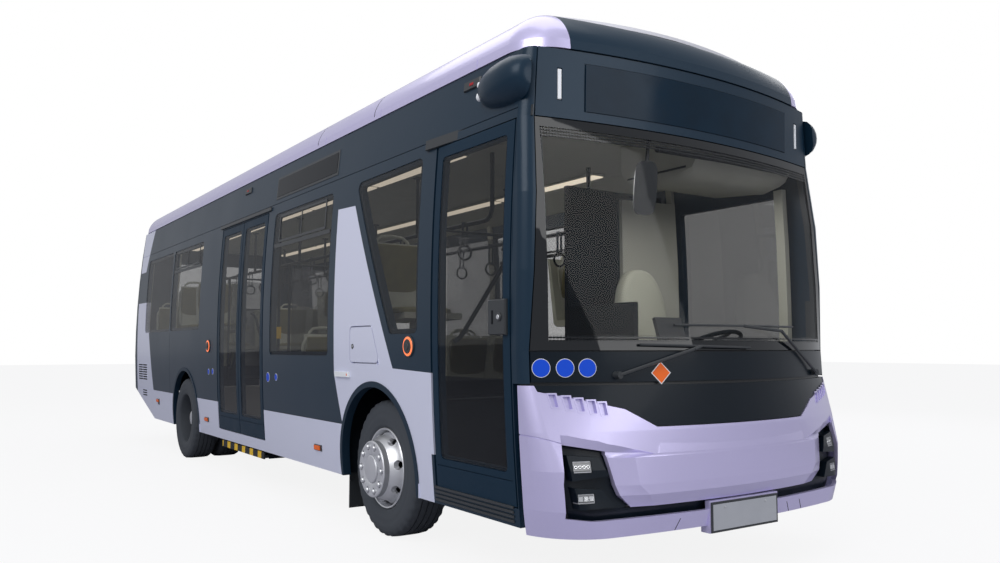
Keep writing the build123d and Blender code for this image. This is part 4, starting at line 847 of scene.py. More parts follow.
    def stack(self, place: Place, layers: Sequence[tuple[float, float, float, Finish]],
              steps: int = 40) -> None:
        """Flat discs over each other on a surface.

        Args:
            place: Middle of their foot.
            layers: Lift, radius, thickness and finish of each disc.
            steps: Steps round.
        """
        spot, facing = place
        for lift, radius, thick, finish in layers:
            self.disc(tuple(spot + facing * lift), tuple(facing), radius, thick, finish, steps)

    def loose(self) -> bpy.types.Object:
        """Close the piece and leave it without a body."""
        bmesh.ops.remove_doubles(self.mesh, verts=self.mesh.verts, dist=1e-6)
        bmesh.ops.recalc_face_normals(self.mesh, faces=self.mesh.faces)
        data = bpy.data.meshes.new(self.name)
        self.mesh.to_mesh(data)
        self.mesh.free()
        for finish in self.finishes:
            data.materials.append(finish.material)
        return put(self.name, data)

    def done(self, body: str, angle: float = 34.0) -> bpy.types.Object:
        """Close the piece and let it ride on its body.

        Args:
            body: Body that it moves with.
            angle: Edges sharper than this stay sharp, in degrees.

        Returns:
            The finished object.
        """
        made = self.loose()
        smooth(made, angle)
        return ride(made, body)


def put(name: str, data: bpy.types.ID) -> bpy.types.Object:
    """New object of this data, in the scene."""
    made = bpy.data.objects.new(name, data)
    bpy.context.scene.collection.objects.link(made)
    return made


def baked(piece: bpy.types.Object) -> bpy.types.Mesh:
    """Mesh of a piece with its modifiers applied."""
    graph = bpy.context.evaluated_depsgraph_get()
    return bpy.data.meshes.new_from_object(piece.evaluated_get(graph))


def modify(piece: bpy.types.Object, kind: str, **settings: Any) -> None:
    """Add one modifier, take its result and remove it."""
    layer = piece.modifiers.new(kind.lower(), kind)
    for key, value in settings.items():
        setattr(layer, key, value)
    piece.data = baked(piece)
    piece.modifiers.remove(layer)


def smooth(piece: bpy.types.Object, angle: float) -> None:
    """Shade a piece smoothly, with edges sharper than the angle left sharp."""
    piece.data.polygons.foreach_set("use_smooth", [True] * len(piece.data.polygons))
    piece.data.set_sharp_from_angle(angle=math.radians(angle))


def ride(piece: bpy.types.Object, body: str) -> bpy.types.Object:
    """Let a finished piece move with a body, and report it."""
    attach(piece, body)
    LOG.info("%s rides on %s with %d faces", piece.name, body, len(piece.data.polygons))
    return piece


@dataclass
class Repeat:
    """Copies of one small form, set out by Geometry Nodes on a ring or along a row."""

    name: str
    finish: Finish
    count: int
    start: Point = (0.0, 0.0, 0.0)
    end: Point = (1.0, 0.0, 0.0)
    radius: float = 0.0
    turn: Point = (0.0, 0.0, 0.0)

    def build(self, unit: bpy.types.Object) -> bpy.types.Object:
        """Set out the copies as a plain mesh.

        Args:
            unit: The form to repeat, round its own origin; removed afterwards.

        Returns:
            Object that holds all the copies, not yet riding.
        """
        tree = bpy.data.node_groups.new(self.name, "GeometryNodeTree")
        sockets = {}
        for label, kind in (("Count", "Int"), ("Radius", "Float"), ("Start", "Vector"), ("End", "Vector"),
                            ("Turn", "Vector"), ("Unit", "Object")):
            sockets[label] = tree.interface.new_socket(label, in_out="INPUT", socket_type="NodeSocket" + kind)
        tree.interface.new_socket("Geometry", in_out="OUTPUT", socket_type="NodeSocketGeometry")
        source = tree.nodes.new("NodeGroupInput")
        link = tree.links.new
        if self.radius:
            places = tree.nodes.new("GeometryNodeMeshCircle")
            link(source.outputs["Count"], places.inputs["Vertices"])
            link(source.outputs["Radius"], places.inputs["Radius"])
        else:
            places = tree.nodes.new("GeometryNodeMeshLine")
            places.mode = "END_POINTS"
            link(source.outputs["Count"], places.inputs[0])
            link(source.outputs["Start"], places.inputs[2])
            link(source.outputs["End"], places.inputs[3])
        taken = tree.nodes.new("GeometryNodeObjectInfo")
        spread = tree.nodes.new("GeometryNodeInstanceOnPoints")
        moved = tree.nodes.new("GeometryNodeTransform")
        real = tree.nodes.new("GeometryNodeRealizeInstances")
        dressed = tree.nodes.new("GeometryNodeSetMaterial")
        out = tree.nodes.new("NodeGroupOutput")
        dressed.inputs["Material"].default_value = self.finish.material
        link(source.outputs["Unit"], taken.inputs["Object"])
        link(places.outputs[0], spread.inputs["Points"])
        link(taken.outputs["Geometry"], spread.inputs["Instance"])
        link(spread.outputs[0], moved.inputs["Geometry"])
        if self.radius:
            link(source.outputs["Turn"], moved.inputs["Rotation"])
            link(source.outputs["Start"], moved.inputs["Translation"])
        link(moved.outputs[0], real.inputs[0])
        link(real.outputs[0], dressed.inputs["Geometry"])
        link(dressed.outputs[0], out.inputs[0])
        carrier = put(self.name + "_carrier", bpy.data.meshes.new(self.name + "_carrier"))
        layer = carrier.modifiers.new("repeat", "NODES")
        layer.node_group = tree
        values = {"Count": self.count, "Radius": self.radius, "Start": self.start, "End": self.end,
                  "Turn": self.turn, "Unit": unit}
        for label, value in values.items():
            layer[sockets[label].identifier] = value
        data = baked(carrier)
        carrier.modifiers.remove(layer)
        bpy.data.objects.remove(carrier)
        bpy.data.objects.remove(unit)
        bpy.data.node_groups.remove(tree)
        data.name = self.name
        return put(self.name, data)


def unit_form(name: str, rows: Sequence[Flat], sides: int, finish: Finish) -> bpy.types.Object:
    """Small turned form that stands on +Z, for repeating.

    Args:
        name: Name of the form.
        rows: (height, radius) from its foot upwards.
        sides: Sides of its section.
        finish: What covers it.

    Returns:
        An object round its own origin, not riding.
    """
    form = Form(name)
    form.tube([(0.0, 0.0, height) for height, _ in rows], [radius for _, radius in rows], finish, sides)
    return form.loose()


# ------------------------------------------------------------------ running gear
@dataclass
class WheelSet:
    """Tyres and rims that turn together on one hub."""

    name: str
    body: str
    tyre_node: str
    rim_node: str
    axle_x: float
    hand: int
    # middle of the tyre, where the disc leaves the barrel, and the hub face, outwards
    rows: tuple[Point, ...]
    axle_z: float = 0.4335
    half_tyre: float = 0.1325
    rim_radius: float = 0.2555
    barrel: float = 0.235
    hub: float = 0.176
    bore: float = 0.061
    nut_circle: float = 0.143
    nuts: int = 10
    socket: float = 0.0225
    holes: int = 8
    # radius of their circle, half length and half height of each
    hole: Point = (0.2095, 0.031, 0.0135)
    first_hole: float = 0.2

    TREAD = (
        # share of the half width, radius; read outwards from the middle of the tread
        (0.105, 0.4335), (0.115, 0.4245), (0.185, 0.4245), (0.195, 0.4335), (0.440, 0.4332), (0.450, 0.4240),
        (0.520, 0.4240), (0.530, 0.4328), (0.770, 0.4300), (0.850, 0.4235), (0.905, 0.4120), (0.945, 0.3960),
        (0.958, 0.3880), (0.968, 0.3750), (0.976, 0.3560), (0.968, 0.3520), (0.977, 0.3300), (0.977, 0.3060),
        (0.960, 0.3010), (0.958, 0.2840), (0.900, 0.2640), (0.800, 0.2560),
    )
    LUGS = (8, 9, 10)

    def build(self) -> None:
        """Make tyres, rims and nuts."""
        self._tyres()
        self._rims()
        mid, _, face = self.rows[0]
        self._nuts(mid + face)

    def _origin(self, mid: float) -> Point:
        """Middle of one tyre."""
        return (self.axle_x, self.hand * mid, self.axle_z)

    def _tyres(self) -> None:
        """Smooth tyres with grooves and shoulder lugs."""
        form = Form(f"{self.name}_tyres")
        half = [(share * self.half_tyre, radius) for share, radius in self.TREAD]
        profile = half + [(-offset, radius) for offset, radius in reversed(half)]
        lugs = [*self.LUGS, *(len(profile) - 1 - n for n in self.LUGS)]
        for mid, _, _ in self.rows:
            form.lathe(profile, self._origin(mid), self.hand, Finish.RUBBER, 144, lugs, 0.007)
        made = form.done(self.body, 40.0)
        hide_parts(self.tyre_node)

    def _rim_profile(self, foot: float, face: float) -> list[Flat]:
        """Outline of one rim: rolled lip, barrel, sloping disc and hub face."""
        edge, wall = self.half_tyre - 0.026, 0.011 if face > foot else -0.011
        slope = 1 if face > foot else -1
        lip = [(edge + 0.010, self.rim_radius), (edge + 0.014, self.rim_radius - 0.004),
               (edge + 0.012, self.rim_radius - 0.011), (edge - 0.008, self.barrel + 0.004),
               (edge - 0.022, self.barrel)]
        disc = [(foot + 0.006 * slope, self.barrel), (foot + 0.018 * slope, self.barrel - 0.005),
                (foot + (face - foot) * 0.42, self.barrel - 0.015),
                (foot + (face - foot) * 0.62, self.hub + 0.022),
                (foot + (face - foot) * 0.72, self.hub + 0.008),
                (foot + (face - foot) * 0.76, self.hub + 0.003),
                (face - 0.006, self.hub + 0.002), (face, self.hub - 0.005),
                (face, 0.098), (face - 0.003, 0.092), (face - 0.009, 0.086), (face - 0.010, self.bore)]
        back = [(face - 0.022, self.bore), (face - 0.022, self.hub - wall),
                (foot - 0.012, self.barrel - 0.002),
                (-edge, self.barrel), (-edge, self.rim_radius)]
        return lip + disc + back

    def _rims(self) -> None:
        """Rims with oval hand holes."""
        form = Form(f"{self.name}_rims")
        holes = Form(f"{self.name}_holes")
        for mid, foot, face in self.rows:
            form.lathe(self._rim_profile(foot, face), self._origin(mid), self.hand, Finish.RIM, 112)
            self._hole_cutters(holes, mid)
            self._socket_cutters(holes, mid + face)
        cutter = holes.loose()
        made = form.loose()
        modify(made, "BOOLEAN", operation="DIFFERENCE", object=cutter, solver="EXACT")
        bpy.data.objects.remove(cutter)
        smooth(made, 28.0)
        ride(made, self.body)
        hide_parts(self.rim_node)
        cap = Form(f"{self.name}_hub_cap")
        self._cap(cap)
        cap.done(self.body)

    def _hole_cutters(self, form: Form, mid: float) -> None:
        """Oval prisms along the axle, one for each hand hole."""
        reach, half_length, half_height = self.hole
        for turn in circle(self.holes, self.first_hole):
            ring = []
            for angle in circle(24):
                along, across = half_length * math.cos(angle), reach + half_height * math.sin(angle)
                ring.append((self.axle_x + across * math.cos(turn) - along * math.sin(turn),
                             self.hand * (mid - 0.3),
                             self.axle_z + across * math.sin(turn) + along * math.cos(turn)))
            form.plate(ring, (0, self.hand * 0.6, 0), Finish.SOCKET)

    def _socket_cutters(self, form: Form, reach: float) -> None:
        """Shallow sockets in the hub face round the nuts."""
        for turn in circle(self.nuts):
            x = self.axle_x + self.nut_circle * math.cos(turn)
            z = self.axle_z + self.nut_circle * math.sin(turn)
            form.tube([(x, self.hand * (reach - 0.009), z), (x, self.hand * (reach + 0.020), z)], self.socket,
                      Finish.SOCKET, 24)

    def _cap(self, form: Form) -> None:
        """Cap over the end of the hub: shallow in front, long in a rear dish."""
        mid, foot, face = self.rows[0]
        reach = 0.0 if face > foot else 0.164
        outer = 0.086 if face > foot else 0.072
        profile = [(face - 0.009, self.bore + 0.0005), (face - 0.009, 0.084), (face + reach + 0.002, outer),
                   (face + reach + 0.007, outer - 0.006), (face + reach + 0.010, 0.040),
                   (face + reach + 0.011, 0.0005),
                   (face + reach + 0.006, 0.0005), (face + reach + 0.006, self.bore)]
        form.lathe(profile, self._origin(mid), self.hand, Finish.RIM, 64)

    def _nuts(self, reach: float) -> None:
        """Wheel nuts on collars, set round the hub face."""
        rows = ((-0.0085, 0.0195), (-0.004, 0.0195), (-0.003, 0.0165), (0.008, 0.0160), (0.013, 0.0125),
                (0.0155, 0.0070))
        unit = unit_form(f"{self.name}_nut", rows, 18, Finish.RIM)
        start = (self.axle_x, self.hand * reach, self.axle_z)
        ring = Repeat(f"{self.name}_nuts_0", Finish.RIM, self.nuts, start, radius=self.nut_circle,
                      turn=(-self.hand * math.pi / 2, 0.0, 0.0))
        made = ring.build(unit)
        smooth(made, 30.0)
        ride(made, self.body)


FRONT_AXLE_X, REAR_AXLE_X = 2.705, -2.020
FRONT_ROWS = ((0.9795, 0.0465, 0.2165),)
REAR_ROWS = ((1.0395, -0.0365, -0.1115), (0.7385, 0.0665, 0.1752))


def wheel_sets() -> list[WheelSet]:
    """The four wheel bodies."""
    made = []
    for hand, side in ((1, "left"), (-1, "right")):
        for end, s, station, rows in (("front", "", FRONT_AXLE_X, FRONT_ROWS),
                                      ("rear", "s", REAR_AXLE_X, REAR_ROWS)):
            made.append(WheelSet(f"{end}_{side}", f"wheel{s}_{end}_{side}", f"tyre{s}_{end}_{side}",
                                 f"rim{s}_{end}_{side}", station, hand, rows))
    return made


# ------------------------------------------------------------------ outside trim
@dataclass
class SideTrim:
    """Small fittings on the side walls."""

    probe: Probe
    # station, height, hand
    buttons: tuple[tuple[float, float, int], ...] = ((3.200, 1.214, -1), (-1.063, 1.222, -1))
    markers: tuple[tuple[float, float, int], ...] = ((1.750, 0.475, -1), (-1.176, 0.478, -1),
                                                     (-3.300, 0.560, -1), (1.300, 0.475, 1),
                                                     (-0.700, 0.475, 1), (-3.000, 0.560, 1))
    cameras: tuple[tuple[float, float, int], ...] = ((3.808, 2.664, -1), (-0.074, 2.662, -1),
                                                     (3.808, 2.664, 1))
    # station, height, radius
    discs: tuple[Point, ...] = ((0.711, 0.960, 0.040), (0.906, 0.966, 0.030), (-1.060, 0.966, 0.030),
                                (-0.916, 0.970, 0.030))
    # rear and front edge, low and high edge
    display: Box = (0.754, 2.000, 2.480, 2.630)
    rails: tuple[Box, Box] = ((3.350, 4.325, 2.372, 2.430), (-0.83, 0.64, 2.382, 2.412))
    lock: Box = (4.085, 4.235, 1.270, 1.450)
    repeater: Box = (2.125, 2.355, 1.006, 1.042)
    repeater_end: Box = (2.325, 2.349, 1.010, 1.038)
    socket: Box = (-3.300, -3.236, 0.512, 0.576)
    flap_lock: Flat = (2.402, 1.215)
    # rear and front end, lowest rib, height and pitch of the ribs
    sill: tuple[float, float, float, float, float] = (3.452, 4.225, 0.345, 0.013, 0.023)
    sill_ribs: int = 4
    cove_joints: Flat = (2.553, 1.568)
    cove_foot: float = 2.74
    # lowest slot, rows, stations of the ends
    louvre_groups: tuple[tuple[float, int, tuple[Flat, ...]], ...] = (
        (0.600, 3, ((-4.130, -3.905),)), (0.805, 7, ((-4.355, -4.130), (-4.100, -3.875))))
    louvre_pitch: float = 0.030

    def build(self) -> None:
        """Make all the side fittings."""
        self._buttons()
        self._markers()
        self._discs()
        (x0, x1, z0, z1), edge = self.display, 0.02
        self._blocks("side_display", [
            ((x0 - edge, x1 + edge, z0 - edge, z1 + edge), -1, 0.004, 0.004, Finish.BLACK_TRIM, 0.002),
            (self.display, -1, 0.0065, 0.0, Finish.SCREEN, 0.001)])
        self._blocks("door_rain_rails", [
            (self.rails[0], -1, 0.022, 0.004, Finish.BLACK_TRIM, 0.008),
            (self.rails[1], -1, 0.014, 0.004, Finish.BLACK_TRIM, 0.006)])
        self._lock()
        x0, x1, low, high, pitch = self.sill
        feet = [low + n * pitch for n in range(self.sill_ribs)]
        self._blocks("front_door_sill", [
            ((x0, x1, z, z + high), -1, 0.007, 0.002, Finish.BLACK_TRIM, 0.003) for z in feet])
        self._cove_seams()
        self._louvres()
        self._blocks("turn_repeaters", [row for hand in (1, -1) for row in (
            (self.repeater, hand, 0.018, 0.003, Finish.LENS, 0.009),
            (self.repeater_end, hand, 0.0185, 0.0, Finish.AMBER, 0.009))])
        self._cameras()
        lock = Form("charge_flap_lock")
        lock.stack(self.probe.side(*self.flap_lock, -1), [(0.0, 0.017, 0.003, Finish.BLACK_TRIM),
                                                          (0.002, 0.008, 0.003, Finish.CAST)])
        lock.done("charge_flap")

    def _blocks(self, name: str,
                rows: Sequence[tuple[Box, int, float, float, Finish, float]]) -> None:
        """Low blocks on the walls, as one piece.

        Args:
            name: Name of the piece.
            rows: Edges, hand, rise, sink, finish and chamfer of each block.
        """
        form = Form(name)
        for edges, hand, rise, sink, finish, chamfer in rows:
            form.patch(self.probe.side_block(edges, hand), rise, sink, finish, chamfer)
        form.done("body")

    def _buttons(self) -> None:
        """Door buttons: a glowing orange ring round a black push."""
        form = Form("door_buttons")
        for place in self.buttons:
            form.stack(self.probe.side(*place), [
                (0.0, 0.066, 0.008, Finish.BLACK_TRIM), (0.006, 0.058, 0.005, Finish.RING),
                (0.009, 0.044, 0.006, Finish.BLACK_TRIM), (0.013, 0.022, 0.006, Finish.BLACK_TRIM)])
        form.done("body")

    def _markers(self) -> None:
        """Orange side markers in black holders."""
        rows = []
        for x, z, hand in self.markers:
            rows.append(((x - 0.068, x + 0.068, z - 0.022, z + 0.022), hand, 0.006, 0.006, Finish.BLACK_TRIM,
                         0.003))
            rows.append(((x - 0.060, x + 0.044, z - 0.016, z + 0.016), hand, 0.014, 0.0, Finish.AMBER, 0.005))
        self._blocks("side_markers", rows)

    def _cameras(self) -> None:
        """Oval camera housings on the cantrail, with a red status mark."""
        rows = []
        for x, z, hand in self.cameras:
            rows.append(((x - 0.085, x + 0.085, z - 0.026, z + 0.026), hand, 0.012, 0.003, Finish.BLACK_TRIM,
                         0.008))
            rows.append(((x - 0.020, x + 0.020, z - 0.008, z + 0.008), hand, 0.0145, 0.0, Finish.RED_LENS,
                         0.002))
        self._blocks("cantrail_cameras", rows)

    def _discs(self) -> None:
        """Blank blue notice discs with a pale edge."""
        form = Form("side_notice_discs")
        for x, z, radius in self.discs:
            form.stack(self.probe.side(x, z, -1), [(0.0, radius, 0.0012, Finish.PALE_MARK),
                                                   (0.0008, radius - 0.003, 0.0012, Finish.BLUE)])
        form.done("body")

    def _lock(self) -> None:
        """Lock box on the front door leaf, with a slot and a round knob."""
        form = Form("door_lock_box")
        x0, x1, z0, z1 = self.lock
        inboard = 0.10
        facing = self.probe.side(x0 - inboard, z0, -1)[1]
        spots = [(self.probe.side(x0 - inboard, z, -1)[0] + Vector((x - x0 + inboard, 0.0, 0.0)), facing)
                 for x, z in ((x0, z0), (x1, z0), (x1, z1), (x0, z1))]
        form.patch(spots, 0.024, 0.0, Finish.BLACK_TRIM, 0.007)
        face = sum((spot for spot, _ in spots), Vector()) / 4 + facing * 0.023
        form.stack((face + Vector((0.028, 0.0, 0.0)), facing), [(0.0, 0.022, 0.008, Finish.BLACK_TRIM),
                                                               (0.006, 0.012, 0.006, Finish.CAST)])
        low, high = face + Vector((-0.040, 0.0, -0.035)), face + Vector((-0.026, 0.0, 0.035))
        form.box((low.x, face.y - 0.003, low.z), (high.x, face.y + 0.001, high.z), Finish.SCREEN)
        form.done("door_front")

    def _cove_seams(self) -> None:
        """Joints between the lengths of the roof cove."""
        form = Form("cove_joints")
        for hand in (-1, 1):
            for x in self.cove_joints:
                spots = [self.probe.side(x, self.cove_foot + 0.03 * n, hand) for n in range(7)]
                form.strip(spots, (1, 0, 0), 0.0035, 0.0008, 0.001, Finish.SOCKET)
        form.done("body")

    def _louvres(self) -> None:
        """Cooling slots in the rear corners, drawn as dark strips of painted shade under a pale lip, with a
        dark square patch before them.
        """
        form = Form("rear_corner_louvres")
        for hand in (-1, 1):
            for low, rows, spans in self.louvre_groups:
                for z, (x0, x1) in ((low + self.louvre_pitch * n, span) for n in range(rows)
                                    for span in spans):
                    spots = [self.probe.side(x0 + (x1 - x0) * t / 3, z, hand) for t in range(4)]
                    # dark strip on the wall: painted shade standing in for the opening of the slot
                    form.strip(spots, (0, 0, 1), 0.0085, 0.0012, 0.001, Finish.SOCKET)
                    lip = [(spot + Vector((0.0, 0.0, 0.0105)), facing) for spot, facing in spots]
                    form.strip(lip, (0, 0, 1), 0.0028, 0.0060, 0.001, Finish.LIP)
        form.patch(self.probe.side_block(self.socket, -1), 0.004, 0.0, Finish.SOCKET, 0.004)
        form.done("body")


@dataclass
class FrontTrim:
    """Small fittings on the front."""

    probe: Probe
    discs: tuple[Flat, ...] = ((-1.113, 1.107), (-1.007, 1.107), (-0.904, 1.107))
    diamond: Flat = (-0.527, 1.080)
    # right and left edge, low and high edge
    plate: Box = (-0.230, 0.270, 0.275, 0.405)
    plate_face: float = 4.672
    display_half: float = 0.812
    display_rise: Flat = (2.428, 2.677)
    # distance from the middle, height, half width and half height of the lamps' frames
    lamp_frames: tuple[tuple[float, float, float, float], ...] = ((0.975, 0.637, 0.045, 0.027),
                                                                  (0.968, 0.490, 0.042, 0.022))
    # low end and high end as (y, z)
    lip_joints: tuple[tuple[Flat, Flat], ...] = (((-0.470, 0.302), (-0.440, 0.358)),
                                                 ((0.420, 0.302), (0.390, 0.358)),
                                                 ((0.545, 0.302), (0.515, 0.358)))

    def build(self) -> None:
        """Make all the front fittings."""
        self._discs()
        self._diamond()
        self._plate()
        self._display()
        self._column_lamps()
        self._lamp_cells()
        self._lip_seams()

    def _discs(self) -> None:
        """Blank blue notice discs on the belt panel."""
        form = Form("front_notice_discs")
        for place in self.discs:
            form.stack(self.probe.front(*place), [(0.0, 0.046, 0.0012, Finish.PALE_MARK),
                                                  (0.0008, 0.0435, 0.0012, Finish.BLUE)])
        form.done("body")

    def _diamond(self) -> None:
        """Orange warning diamond with a pale edge."""
        form = Form("warning_diamond")
        spot, facing = self.probe.front(*self.diamond)
        aside = facing.cross(Vector((0, 0, 1))).normalized()
        upward = aside.cross(facing).normalized()
        for half, lift, finish in ((0.057, 0.0010, Finish.PALE_MARK), (0.051, 0.0018, Finish.AMBER)):
            ring = [spot + facing * lift + aside * (a * half) + upward * (b * half)
                    for a, b in ((-1, 0), (0, -1), (1, 0), (0, 1))]
            form.plate([tuple(point) for point in ring], tuple(facing * -0.003), finish)
        form.done("body")

    def _plate(self) -> None:
        """Blank number plate in a black frame, on two screws."""
        form = Form("number_plate")
        (y0, y1, z0, z1), face, edge = self.plate, self.plate_face, 0.012
        form.box((face - 0.004, y0 - edge, z0 - edge), (face + 0.006, y1 + edge, z1 + edge),
                 Finish.BLACK_TRIM)
        form.box((face, y0, z0), (face + 0.008, y1, z1), Finish.PLATE)
        for y in (y0 + 0.09, y1 - 0.09):
            form.disc((face + 0.008, y, z1 - 0.018), (1, 0, 0), 0.006, 0.003, Finish.CAST)
        form.done("body")

    def _display(self) -> None:
        """Blank pane of the destination display."""
        form = Form("destination_display")
        steps, lift, sink, rows = 16, 0.0085, 0.002, []
        for n in range(steps + 1):
            y = -self.display_half + 2 * self.display_half * n / steps
            low, high = (self.probe.front(y, z) for z in self.display_rise)
            rows.append([tuple(low[0] + low[1] * lift), tuple(high[0] + high[1] * lift),
                         tuple(high[0] - high[1] * sink), tuple(low[0] - low[1] * sink)])
        form.rings(rows, Finish.HEADER_GLASS)
        form.done("body")

    def _column_lamps(self) -> None:
        """Slim position lamps beside the display."""
        form = Form("header_lamps")
        for y in (-0.960, 0.960):
            form.patch(self.probe.front_block((y - 0.010, y + 0.010, 2.476, 2.634)), 0.011, 0.0, Finish.LENS,
                       0.003)
        form.done("body")

    def _lamp_cells(self) -> None:
        """Cells of the upper lamps and bars of the lower ones, in thin frames."""
        form = Form("front_lamp_cells")
        upper, lower = (height for _, height, _, _ in self.lamp_frames)
        for side in (-1, 1):
            for middle, height, half_w, half_h in self.lamp_frames:
                self._frame(form, side * middle, height, half_w, half_h)
            for n in range(4):
                place = self.probe.front(side * (0.945 + 0.020 * n), upper)
                form.stack(place, [(0.0, 0.0088, 0.004, Finish.CELL)], 20)
                form.stack(place, [(0.003, 0.0050, 0.003, Finish.SOCKET)], 16)
            for n in range(3):
                y = side * (0.941 + 0.027 * n)
                bar = self.probe.front_block((y - 0.011, y + 0.011, lower - 0.012, lower + 0.012))
                form.patch(bar, 0.004, 0.0, Finish.CELL, 0.002)
        form.done("body")

    def _frame(self, form: Form, y: float, z: float, half_w: float, half_h: float) -> None:
        """Thin raised frame round one lamp."""
        loop = ((-1, -1), (1, -1), (1, 1), (-1, 1), (-1, -1))
        for (ya, za), (yb, zb) in zip(loop, loop[1:]):
            spots = [self.probe.front(y + (ya + t * (yb - ya)) * half_w * 0.93,
                                      z + (za + t * (zb - za)) * half_h * 0.90)
                     for t in (0.0, 1.0)]
            across = (0, 0, 1) if za == zb else (0, 1, 0)
            form.strip(spots, across, 0.0018, 0.003, 0.0, Finish.CAST)

    def _lip_seams(self) -> None:
        """Dark joints between the pieces of the lower lip."""
        form = Form("lip_joints")
        for low, high in self.lip_joints:
            spots = [self.probe.front(*between(low, high, t)) for t in (0, 0.5, 1)]
            form.strip(spots, (0, 1, 0), 0.0022, 0.0006, 0.001, Finish.SOCKET)
        form.done("body")


@dataclass
class RearTrim:
    """Lamps and latches on the rear."""

    probe: Probe
    lamp_y: float = 1.035
    high_lamp: Flat = (0.90, 2.60)
    latch: Flat = (0.62, 0.90)

    def build(self) -> None:
        """Make the rear fittings."""
        self._lamps()
        self._latches()

    def _lamps(self) -> None:
        """Round lamps over each other on the corner units: stop, turn, reverse, fog."""
        rows = ((1.340, Finish.RED_LENS), (1.215, Finish.AMBER), (1.090, Finish.RED_LENS),
                (0.965, Finish.LENS))
        form = Form("rear_lamp_rounds")
        for side in (-1, 1):
            for z, finish in rows:
                form.stack(self.probe.rear(side * self.lamp_y, z), [(0.0, 0.046, 0.004, Finish.CAST),
                                                                    (0.003, 0.041, 0.009, finish)])
            y, z = self.high_lamp
            form.stack(self.probe.rear(side * y, z), [(0.0, 0.040, 0.010, Finish.RED_LENS)])
        form.done("body")

    def _latches(self) -> None:
        """Two pull latches on the engine hatch, flush with its outermost ribs."""
        form = Form("hatch_latches")
        z = self.latch[1]
        for y in (-self.latch[0], self.latch[0]):
            spots = [self.probe.rear(y + a, z + b)
                     for a, b in ((-0.06, -0.02), (0.06, -0.02), (0.06, 0.02), (-0.06, 0.02))]
            reach, facing = min(((spot.x, facing) for spot, facing in spots), key=lambda row: row[0])
            flush = [(Vector((reach, spot.y, spot.z)), facing) for spot, _ in spots]
            form.patch(flush, 0.016, 0.003, Finish.BLACK_TRIM, 0.006)
        form.done("rear_hatch")


@dataclass
class MirrorPods:
    """Camera pods at the front corners, smooth in place of the faceted ones."""

    line: Flat = (1.120, 2.580)
    stations: tuple[Flat, ...] = (
        # station, radius
        (3.907, 0.004), (3.909, 0.030), (3.925, 0.055), (3.955, 0.082), (4.010, 0.106), (4.080, 0.122),
        (4.155, 0.129),
        (4.230, 0.130), (4.285, 0.120), (4.330, 0.106), (4.352, 0.084), (4.362, 0.056), (4.362, 0.004),
    )
    # station, height over the line
    eyes: tuple[Flat, ...] = ((3.945, -0.030), (3.955, 0.030))

    def build(self) -> None:
        """Make the two pods, cut flush with the walls."""
        form = Form("camera_pods")
        y, z = self.line
        for hand in (1, -1):
            rows = []
            for x, radius in self.stations:
                ring = []
                for angle in circle(48):
                    across, up = y + radius * math.cos(angle), z + radius * math.sin(angle)
                    ring.append((x, hand * max(across, side_wall_y(up)), up))
                rows.append(ring)
            form.rings(rows, Finish.CHARCOAL)
        made = form.done("body", 50.0)
        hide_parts("mirror_pods")
        eyes = Form("camera_eyes")
        for hand in (1, -1):
            for x, up in self.eyes:
                eyes.disc((x, hand * (y + 0.060), z + up), (-1, hand * 0.5, 0), 0.022, 0.014, Finish.LENS, 24)
        eyes.done("body")


def side_wall_y(z: float, widest: float = 1.200, bulge: float = 11.650, waist: float = 1.430) -> float:
    """Half width of the side wall at a height."""
    return widest - bulge + math.sqrt(bulge ** 2 - (z - waist) ** 2)


@dataclass
class WindowTrim:
    """Hopper frames and bars behind the side glass."""

    probe: Probe
    # station of the rear and front edge, sill, head, height of the bar, hand
    hoppers: tuple[tuple[float, float, float, float, int], ...] = (
        (0.780, 1.950, 2.055, 2.300, -1), (-2.630, -1.470, 2.085, 2.300, -1),
        (0.690, 1.850, 2.055, 2.300, 1), (-1.970, -0.730, 2.085, 2.300, 1), (1.970, 3.030, 2.055, 2.300, 1),
    )

    def build(self) -> None:
        """Make frames and bars."""
        form = Form("hopper_frames")
        for x0, x1, z0, z1, hand in self.hoppers:
            left, right, foot, middle = x0 + 0.10, x1 - 0.10, z0 + 0.03, (x0 + x1) / 2
            for start, end, half in (
                    ((x0, z0), (x1, z0), 0.016), ((left, foot), (left, z1), 0.010),
                    ((right, foot), (right, z1), 0.010),
                    ((left, z1), (right, z1), 0.010), ((left, foot + 0.005), (right, foot + 0.005), 0.010),
                    ((middle, foot + 0.005), (middle, z1), 0.008)):
                self._line(form, start, end, half, hand)
        form.done("body")

    def _line(self, form: Form, start: Flat, end: Flat, half: float, hand: int) -> None:
        """Flat bar on the glass between two places."""
        spots = [self.probe.side(*between(start, end, t), hand) for t in (0.0, 0.5, 1.0)]
        across = (0, 0, 1) if abs(end[0] - start[0]) > abs(end[1] - start[1]) else (1, 0, 0)
        form.strip(spots, across, half, 0.0025, 0.001, Finish.BLACK_TRIM)


